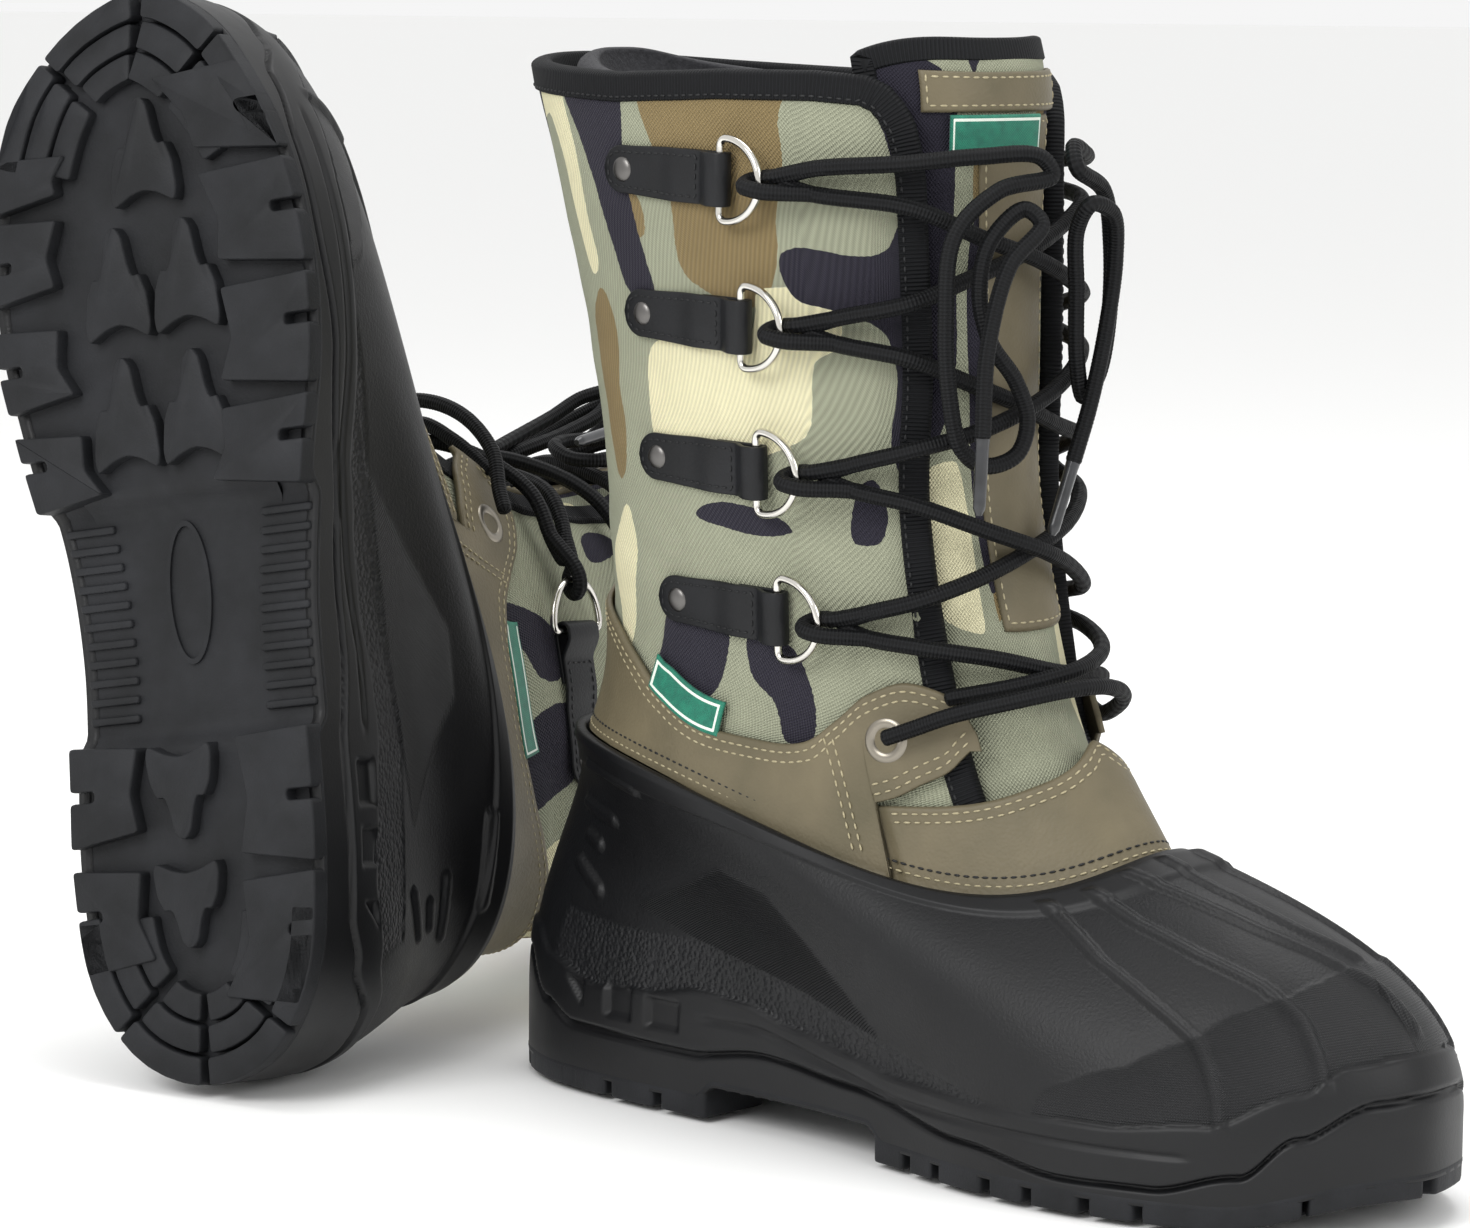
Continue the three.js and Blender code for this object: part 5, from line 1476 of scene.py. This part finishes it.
    tongueBand("tongueStrip", uAtY(-13, 220), uAtY(20, 220), 148, 285.5, 1.5, 1.4,
               finishes["leather"], rows=120)
    tongueBand("tongueCollar", uAtY(-34, 290), uAtY(34, 290), 286.5, 299.5, 1.7, 1.4,
               finishes["leather"], columns=70, rows=22)
    tongueBand("tongueLabel", uAtY(-26, 280), uAtY(12, 280), 273.5, 285.8, 2.8, 0.9,
               finishes["label"], columns=60, rows=30, fields=True, stitched=0)

    # bound top edge of the tongue
    acrossTop = np.linspace(-edgeU, edgeU, 90)[1:]
    tu = np.concatenate([np.full(20, -edgeU), acrossTop, np.full(20, edgeU)[1:]])
    tv = np.concatenate([np.linspace(1.45, top[0], 20), np.interp(acrossTop, tongueU, top),
                         np.linspace(top[-1], 1.45, 20)[1:]])
    half = depths["tongueThickness"] / 2
    tapeAlong(pair, "tongueBinding", tu, tv, depths["tongue"] + half,
              {"half": half + 0.6, "lip": 1.5, "steps": 9, "grip": 5.0, "flare": 0.0})
print("shafts and tongues made")


# Leather bands above the shell
bandLook = {
    "vampEnd": 154, "vampTop": [[0, 119], [0.4, 107], [0.75, 99], [1, 97]], "backZ": 150.0,
    "quarterTop": [[40, 139], [56, 130], [73, 120], [92, 113], [115, 111], [130, 112], [141, 119], [151, 127],
                   [162, 131], [174, 128], [181, 119]],
    "quarterLow": [[155, 98], [161, 100], [168, 104], [175, 108], [180, 114]],
}


def stationsOf(outline):
    at = [locate(float(x), float(z), 1) for x, z in outline][::-1]
    return np.array([float(a) for a, _ in at]), np.array([float(b) for _, b in at])


def smoothStations(at, value, share):
    dense = splineThrough(np.stack([at * 100, value * 100], -1), np.linspace(0, 1, 800))
    return np.interp(share, dense[:, 0] / 100, dense[:, 1] / 100)


topU, topV = stationsOf(bandLook["quarterTop"])
backV = float(heightOf(np.array([bandLook["backZ"]]), np.array([0.5]))[0])
topU, topV = np.append(topU, 0.5), np.append(topV, backV)
lowU, lowV = stationsOf(bandLook["quarterLow"])
vampU = float(locate(float(bandLook["vampEnd"]), 94.0, 1)[0])


def bandStitch(pair, us, vs, lift, tone):
    p, n = onSkin(pair["skin"], us, vs)
    depth = np.asarray(depths["band"] - lift)[..., None]
    stitchRows[pair["side"]][tone].append((p - n * depth, n))


def overlapLift(share):
    # How far stitches rise where the quarter band laps over the vamp band.
    return 0.1 + 0.9 * smooth(lowU[-1] + 0.05, lowU[-1] + 0.02, share)


def offsetLevel(u, v, mm):
    # Skin level mm millimetres up the surface from level v.
    a, b = onSkin(upright, u, v)[0], onSkin(upright, u, v + 0.01)[0]
    return v + 0.01 * mm / np.linalg.norm(b - a, axis=-1)


for pair in boots:
    thick = depths["bandThickness"]
    # vamp band
    u = np.linspace(-vampU, vampU, 200)
    vampAt, vampZ = splineThrough(bandLook["vampTop"], np.linspace(0, 1, 200)).T
    high = heightOf(np.interp(np.abs(u) / vampU, vampAt, vampZ), u % 1)
    uu, vv = panelGrid(u, np.full(len(u), 0.985), high, 40)
    shape = onSkin(upright, uu, vv)[0]
    away = runLengths(shape[::-1], 0)[::-1]
    puff = noiseAt(shape, 30, 5) * 0.25 * smooth(0, 6, away)
    aside = np.minimum(runLengths(shape, 1), runLengths(shape[:, ::-1], 1)[:, ::-1])
    tucked = 1.1 * (1 - smooth(3, 7, aside))
    outer = depths["band"] + softEdge(away, 1.1, 0.8) - puff + tucked
    vamp = skinPatch(pair, "vampLeather", uu, vv, outer, depths["band"] + thick + 0.3)
    finish(vamp, pair["body"], finishes["leather"], [f"{pair['side']}_vamp_band"])
    for inset, tone in ((-2.2, "pale"), (-4.6, "pale")):
        bandStitch(pair, u[6:-6], offsetLevel(u, high, inset)[6:-6], 0.05, tone)
    rimV = np.ones(len(u))
    bandStitch(pair, u, offsetLevel(u, rimV, 2.6), 0.05, "pale")
    bandStitch(pair, u, offsetLevel(u, rimV, 5.2), 0.05, "black")

    # quarter band, front tab to front tab round the back
    start, seam = topU[0], lowU[-1]
    half = np.concatenate([np.linspace(start, seam, 60), np.linspace(seam + 0.0015, 0.5, 170)])
    u = np.concatenate([half, 1 - half[:-1][::-1]])
    share = np.minimum(u, 1 - u)
    high = smoothStations(topU, topV, share)
    low = np.where(share > seam + 0.001, 0.985, smoothStations(lowU, lowV, share))
    low = np.minimum(low, high - 0.004)
    uu, vv = panelGrid(u, low, high, 60)
    shape = onSkin(upright, uu, vv)[0]
    away = np.minimum(runLengths(shape[::-1], 0)[::-1],
                      np.minimum(runLengths(shape, 1), runLengths(shape[:, ::-1], 1)[:, ::-1]) + 0.4)
    over = smooth(seam + 0.05, seam + 0.02, np.broadcast_to(share, uu.shape)) * 0.9
    puff = noiseAt(shape, 34, 8) * 0.3 * smooth(0, 6, away)
    outer = depths["band"] + softEdge(away, 1.1, 0.8) - puff - over
    quarter = skinPatch(pair, "quarterLeather", uu, vv, outer, depths["band"] + thick - over * 0.9)
    finish(quarter, pair["body"], finishes["leather"], [f"{pair['side']}_quarter_band"])
    inBody = (share > start + 0.006)
    for inset in (-2.3, -4.9):
        us, vs = u[inBody], offsetLevel(u[inBody], high[inBody], inset)
        bandStitch(pair, us, vs, overlapLift(share[inBody]), "pale")
    rest = share > seam + 0.003
    bandStitch(pair, u[rest], offsetLevel(u[rest], np.ones(rest.sum()), 2.6), 0.15, "pale")
    bandStitch(pair, u[rest], offsetLevel(u[rest], np.ones(rest.sum()), 5.2), 0.15, "black")
    for sign in (1, -1):
        for shift in (2.2, 5.0):
            us = np.linspace(start + 0.004, seam, 60)
            upper = smoothStations(topU, topV, us)
            vs = offsetLevel(us, np.minimum(smoothStations(lowU, lowV, us), upper - 0.004), shift)
            keep = vs < upper - 0.02
            us = us if sign > 0 else 1 - us
            bandStitch(pair, us[keep], vs[keep], 1.05, "pale")
            lineX, lineZ = np.linspace(142.5 - shift, 155 - shift, 50), np.linspace(114.5, 84.0, 50)
            tu, tv = locate(lineX, lineZ, 1)
            tu = tu if sign > 0 else 1 - tu
            bandStitch(pair, tu, tv, overlapLift(np.minimum(tu, 1 - tu)), "pale")

    # side label on the outer side, along the band's top edge
    ahead = 0.03 if pair["side"] == "left" else 0.0
    gu, gt = np.meshgrid(np.linspace(0.7486 + ahead, 0.8014 + ahead, 50), np.linspace(0, 1, 26))
    base = smoothStations(topU, topV, 1 - gu) * 1.0
    gv = offsetLevel(gu, offsetLevel(gu, base, -1.5), gt * 9.5)
    shape = onSkin(upright, gu, gv)[0]
    toEdge = np.minimum(np.minimum(runLengths(shape, 1), runLengths(shape[:, ::-1], 1)[:, ::-1]),
                      np.minimum(runLengths(shape, 0), runLengths(shape[::-1], 0)[::-1]))
    d = np.full(gu.shape, depths["band"] - 0.35) + 0.5 * softEdge(toEdge, 0.6, 0.5) + 1.2 * gt
    sideTag = skinPatch(pair, "sideLabel", gu, gv, d, d + 0.7,
                        fields={"frameLine": ((toEdge > 1.0) & (toEdge < 1.7)).astype(float)})
    finish(sideTag, pair["body"], finishes["label"])
print("leather bands made")


# Liner and footbed
for pair in boots:
    u = np.linspace(0, 1, 241)[:-1]
    levels = [0.25, 0.45, 0.65, 0.8, 0.92] + [1 + row / 7 for row in (0.4, 1, 1.5, 2, 3, 4.5, 5.8)]
    shares = [0, 0, 0.1, 0.6, 1.1, 1.1, 1, 1, 1, 1, 1, 1]
    v = np.concatenate([np.linspace(0.25, 1, 40), np.linspace(1, levels[-1], 110)[1:]])
    depth = depths["linerFoot"] + (depths["liner"] - depths["linerFoot"]) * np.interp(v, levels, shares)
    felt = noiseAt(onSkin(pair["skin"], u[None], v[:, None])[0], 12, 60) * 0.4
    outer = under(pair["skin"], u[None], v[:, None], depth[:, None] + 0.6 - felt)
    roll = []
    for a in np.radians(np.linspace(20, 160, 7)):
        halfT = depths["linerThickness"] / 2
        p = under(pair["skin"], u, np.full(len(u), v[-1]), depth[-1] + 0.6 + halfT - (halfT) * math.cos(a))
        highRim, lowRim = (onSkin(pair["skin"], u, np.full(len(u), level))[0]
                           for level in (v[-1], v[-1] - 0.02))
        upward = highRim - lowRim
        upward /= np.linalg.norm(upward, axis=1, keepdims=True)
        roll.append(p + upward * 2.4 * math.sin(a))
    inner = under(pair["skin"], u[None], v[::-4][:, None], (depth[::-4] + depths["linerThickness"])[:, None])
    base = -depths["linerFoot"] - 2
    floors = []
    for grow, lift in ((base - 7, 15.4), (base - 7, 8.4)):
        x, y = outlineAt(u, grow)
        floors.append(np.column_stack([x, y, featherHeight(outlineAt(u)[0]) + lift]))
    outerFoot = np.column_stack([*outlineAt(u, base), featherHeight(outlineAt(u)[0]) + 8.4])
    rings = np.concatenate([outerFoot[None], outer, np.stack(roll), inner, floors[0][None]])
    points = rings.reshape(-1, 3)
    rows, count = rings.shape[:2]
    quads = [gridQuads(rows, count, wrap=True)]
    start = len(points)
    extra = []
    for row, lift, back in ((0, 8.4, True), (rows - 1, 15.4, False)):
        left = np.arange(0, count // 2 + 1)
        right = (-left) % count
        sheet = np.stack([rings[row][left] * (1 - s) + rings[row][right] * s for s in np.linspace(0, 1, 7)])
        extra.append(sheet.reshape(-1, 3))
        quads.append(gridQuads(7, len(left), start=start)[:, ::(-1 if back else 1)])
        start += sheet.size // 3
    liner = makePiece(f"{pair['side']}_feltLiner", placed(pair, np.concatenate([points] + extra)),
                      np.concatenate(quads), flip=pair["flip"])
    finish(liner, pair["body"], finishes["felt"], [f"{pair['side']}_felt_liner"])

    bedRings = []
    for grow, lift in ((-8.0, 4.3), (-7.0, 5.0), (-7.0, 7.6), (-8.0, 8.3)):
        x, y = outlineAt(u, grow)
        bedRings.append(np.column_stack([x, y, featherHeight(outlineAt(u)[0]) + lift]))
    points, quads = closedRings(np.stack(bedRings))
    footbed = makePiece(f"{pair['side']}_foamFootbed", placed(pair, points), quads, flip=pair["flip"],
                        sharp=60)
    finish(footbed, pair["body"], finishes["foam"], [f"{pair['side']}_footbed"])
print("liners made")


# Repeated small things: stitches and rivets
def pointTree(name, material, build):
    # A node group that puts one small shape on every point, turned by two stored directions.
    tree = bpy.data.node_groups.new(name, "GeometryNodeTree")
    tree.interface.new_socket("Geometry", in_out="INPUT", socket_type="NodeSocketGeometry")
    for socketName, value in (("Length", 2.6), ("Width", 0.8), ("Height", 0.5), ("Seed", 3.0)):
        socket = tree.interface.new_socket(socketName, in_out="INPUT", socket_type="NodeSocketFloat")
        socket.default_value = value
    tree.interface.new_socket("Geometry", in_out="OUTPUT", socket_type="NodeSocketGeometry")
    source = tree.nodes.new("NodeGroupInput")
    sink = tree.nodes.new("NodeGroupOutput")
    shape = build(tree)
    scale = addNode(tree, "ShaderNodeCombineXYZ", {0: source.outputs["Length"], 1: source.outputs["Width"],
                                                   2: source.outputs["Height"]}).outputs[0]
    along, facing = (addNode(tree, "GeometryNodeInputNamedAttribute", {"Name": key},
                             data_type="FLOAT_VECTOR").outputs[0] for key in ("along", "facing"))
    first = addNode(tree, "FunctionNodeAlignRotationToVector", {"Vector": along}, axis="X").outputs[0]
    turned = addNode(tree, "FunctionNodeAlignRotationToVector", {"Rotation": first, "Vector": facing},
                     axis="Z", pivot_axis="X").outputs[0]
    vary = addNode(tree, "FunctionNodeRandomValue", {2: 0.92, 3: 1.06}, data_type="FLOAT")
    tree.links.new(source.outputs["Seed"], vary.inputs["Seed"])
    size = addNode(tree, "ShaderNodeVectorMath", {0: scale}, operation="SCALE")
    tree.links.new(vary.outputs[1], size.inputs["Scale"])
    placedOnes = addNode(tree, "GeometryNodeInstanceOnPoints",
                         {"Points": source.outputs["Geometry"], "Instance": shape,
                          "Rotation": turned, "Scale": size.outputs[0]})
    real = addNode(tree, "GeometryNodeRealizeInstances", {"Geometry": placedOnes.outputs[0]})
    done = addNode(tree, "GeometryNodeSetMaterial", {"Geometry": real.outputs[0], "Material": material})
    tree.links.new(done.outputs[0], sink.inputs[0])
    return tree


def throughTree(name, tree, points, along, facing, values):
    # The tree's result for one cloud of points, as a plain mesh object.
    cloud = bpy.data.meshes.new(name + "Points")
    cloud.vertices.add(len(points))
    cloud.vertices.foreach_set("co", np.asarray(points, np.float32).ravel())
    for key, vectors in (("along", along), ("facing", facing)):
        cloud.attributes.new(key, "FLOAT_VECTOR", "POINT").data.foreach_set(
            "vector", np.asarray(vectors, np.float32).ravel())
    holder = bpy.data.objects.new(name + "Points", cloud)
    scene.collection.objects.link(holder)
    modifier = holder.modifiers.new("place", "NODES")
    modifier.node_group = tree
    for socket in tree.interface.items_tree:
        if socket.item_type == "SOCKET" and socket.in_out == "INPUT" and socket.name in values:
            modifier[socket.identifier] = values[socket.name]
    holder.update_tag()
    depsgraph = bpy.context.evaluated_depsgraph_get()
    mesh = bpy.data.meshes.new_from_object(holder.evaluated_get(depsgraph))
    mesh.name = name
    bpy.data.objects.remove(holder)
    bpy.data.meshes.remove(cloud)
    piece = bpy.data.objects.new(name, mesh)
    scene.collection.objects.link(piece)
    mesh.shade_smooth()
    return piece


def stitchShape(tree):
    bead = addNode(tree, "GeometryNodeMeshUVSphere", {"Segments": 6, "Rings": 4, "Radius": 0.0005})
    return bead.outputs["Mesh"]


def rivetShape(tree):
    cap = addNode(tree, "GeometryNodeMeshUVSphere", {"Segments": 28, "Rings": 14, "Radius": 0.001})
    return cap.outputs["Mesh"]


stitchLook = {
    "pale": {"pitch": 3.0, "Length": 2.3, "Width": 0.66, "Height": 0.5, "Seed": 3.0, "slot": "olive_leather"},
    "black": {"pitch": 2.7, "Length": 2.1, "Width": 0.75, "Height": 0.6, "Seed": 5.0, "slot": "strap_leather"},
}
stitchTrees = {tone: pointTree(f"stitch_{tone}", finishes[tone + "Thread"], stitchShape)
               for tone in stitchLook}
rivetTree = pointTree("rivetHeads", finishes["rivet"], rivetShape)
for pair in boots:
    for tone, look in stitchLook.items():
        points, along, facing = [], [], []
        for line, normal in stitchRows[pair["side"]][tone]:
            line = np.asarray(line, float)
            if len(line) < 2:
                continue
            run = np.concatenate([[0], np.cumsum(np.linalg.norm(np.diff(line, axis=0), axis=1))])
            count = max(1, int(run[-1] / look["pitch"]))
            at = (np.arange(count) + 0.5) / count * run[-1]
            spot = lambda values, where: np.stack([np.interp(where, run, values[:, k]) for k in range(3)], -1)
            points.append(spot(line, at))
            along.append(spot(line, at + 0.6) - spot(line, at - 0.6))
            facing.append(spot(np.asarray(normal, float), at))
        points, along, facing = (np.concatenate(part) for part in (points, along, facing))
        stitches = throughTree(f"{pair['side']}_{tone}Stitches", stitchTrees[tone], placed(pair, points),
                               along @ pair["turn"].T, facing @ pair["turn"].T, look)
        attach(stitches, pair["body"])
    seats = rivetSeats[pair["side"]]
    points = np.array([p for p, _ in seats])
    facing = np.array([f for _, f in seats])
    along = np.cross(facing, [0, 0, 1.0])
    rivets = throughTree(f"{pair['side']}_rivets", rivetTree, placed(pair, points), along @ pair["turn"].T,
                         facing @ pair["turn"].T, {"Length": hardware["rivet"], "Width": hardware["rivet"],
                                                   "Height": hardware["rivetHeight"], "Seed": 1.0})
    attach(rivets, pair["body"])
print("stitches and rivets made")


# Floor and light
studio = {
    "floor": "#fbfbfa", "world": "#ffffff", "worldStrength": 0.92, "floorReach": 30.0,
    "lights": [
        ("keyLight", (0.1, -1.6, 1.2), 1.0, 18.0), ("fillLight", (1.6, 0.0, 0.9), 0.9, 6.5),
        ("topLight", (-0.1, 0.3, 1.7), 1.2, 12.0),
    ],
}
floorMaterial, _, floorShader = newMaterial("floorPaper", roughness=0.9)
floorShader.inputs["Base Color"].default_value = colour(studio["floor"])
bpy.context.view_layer.update()
lowest = min(corner.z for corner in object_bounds()[:1])
reach = studio["floorReach"]
paper = [(x * reach, y * reach, lowest - 0.0004) for y in (-1, 1) for x in (-1, 1)]
floorPlane = makePiece("floorPaper", paper, gridQuads(2, 2))
floorPlane.data.materials.append(floorMaterial)
floorPlane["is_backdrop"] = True
world = bpy.data.worlds.new("softWorld")
scene.world = world
world.use_nodes = True
world.node_tree.nodes["Background"].inputs[0].default_value = colour(studio["world"])
world.node_tree.nodes["Background"].inputs[1].default_value = studio["worldStrength"]
for name, place, size, power in studio["lights"]:
    light = bpy.data.lights.new(name, "AREA")
    light.shape, light.size, light.energy = "DISK", size, power
    lamp = bpy.data.objects.new(name, light)
    lamp.location = place
    lamp.rotation_mode = "QUATERNION"
    lamp.rotation_quaternion = (Vector((0.05, -0.05, 0.15)) - Vector(place)).to_track_quat("-Z", "Y")
    scene.collection.objects.link(lamp)
print("studio made")
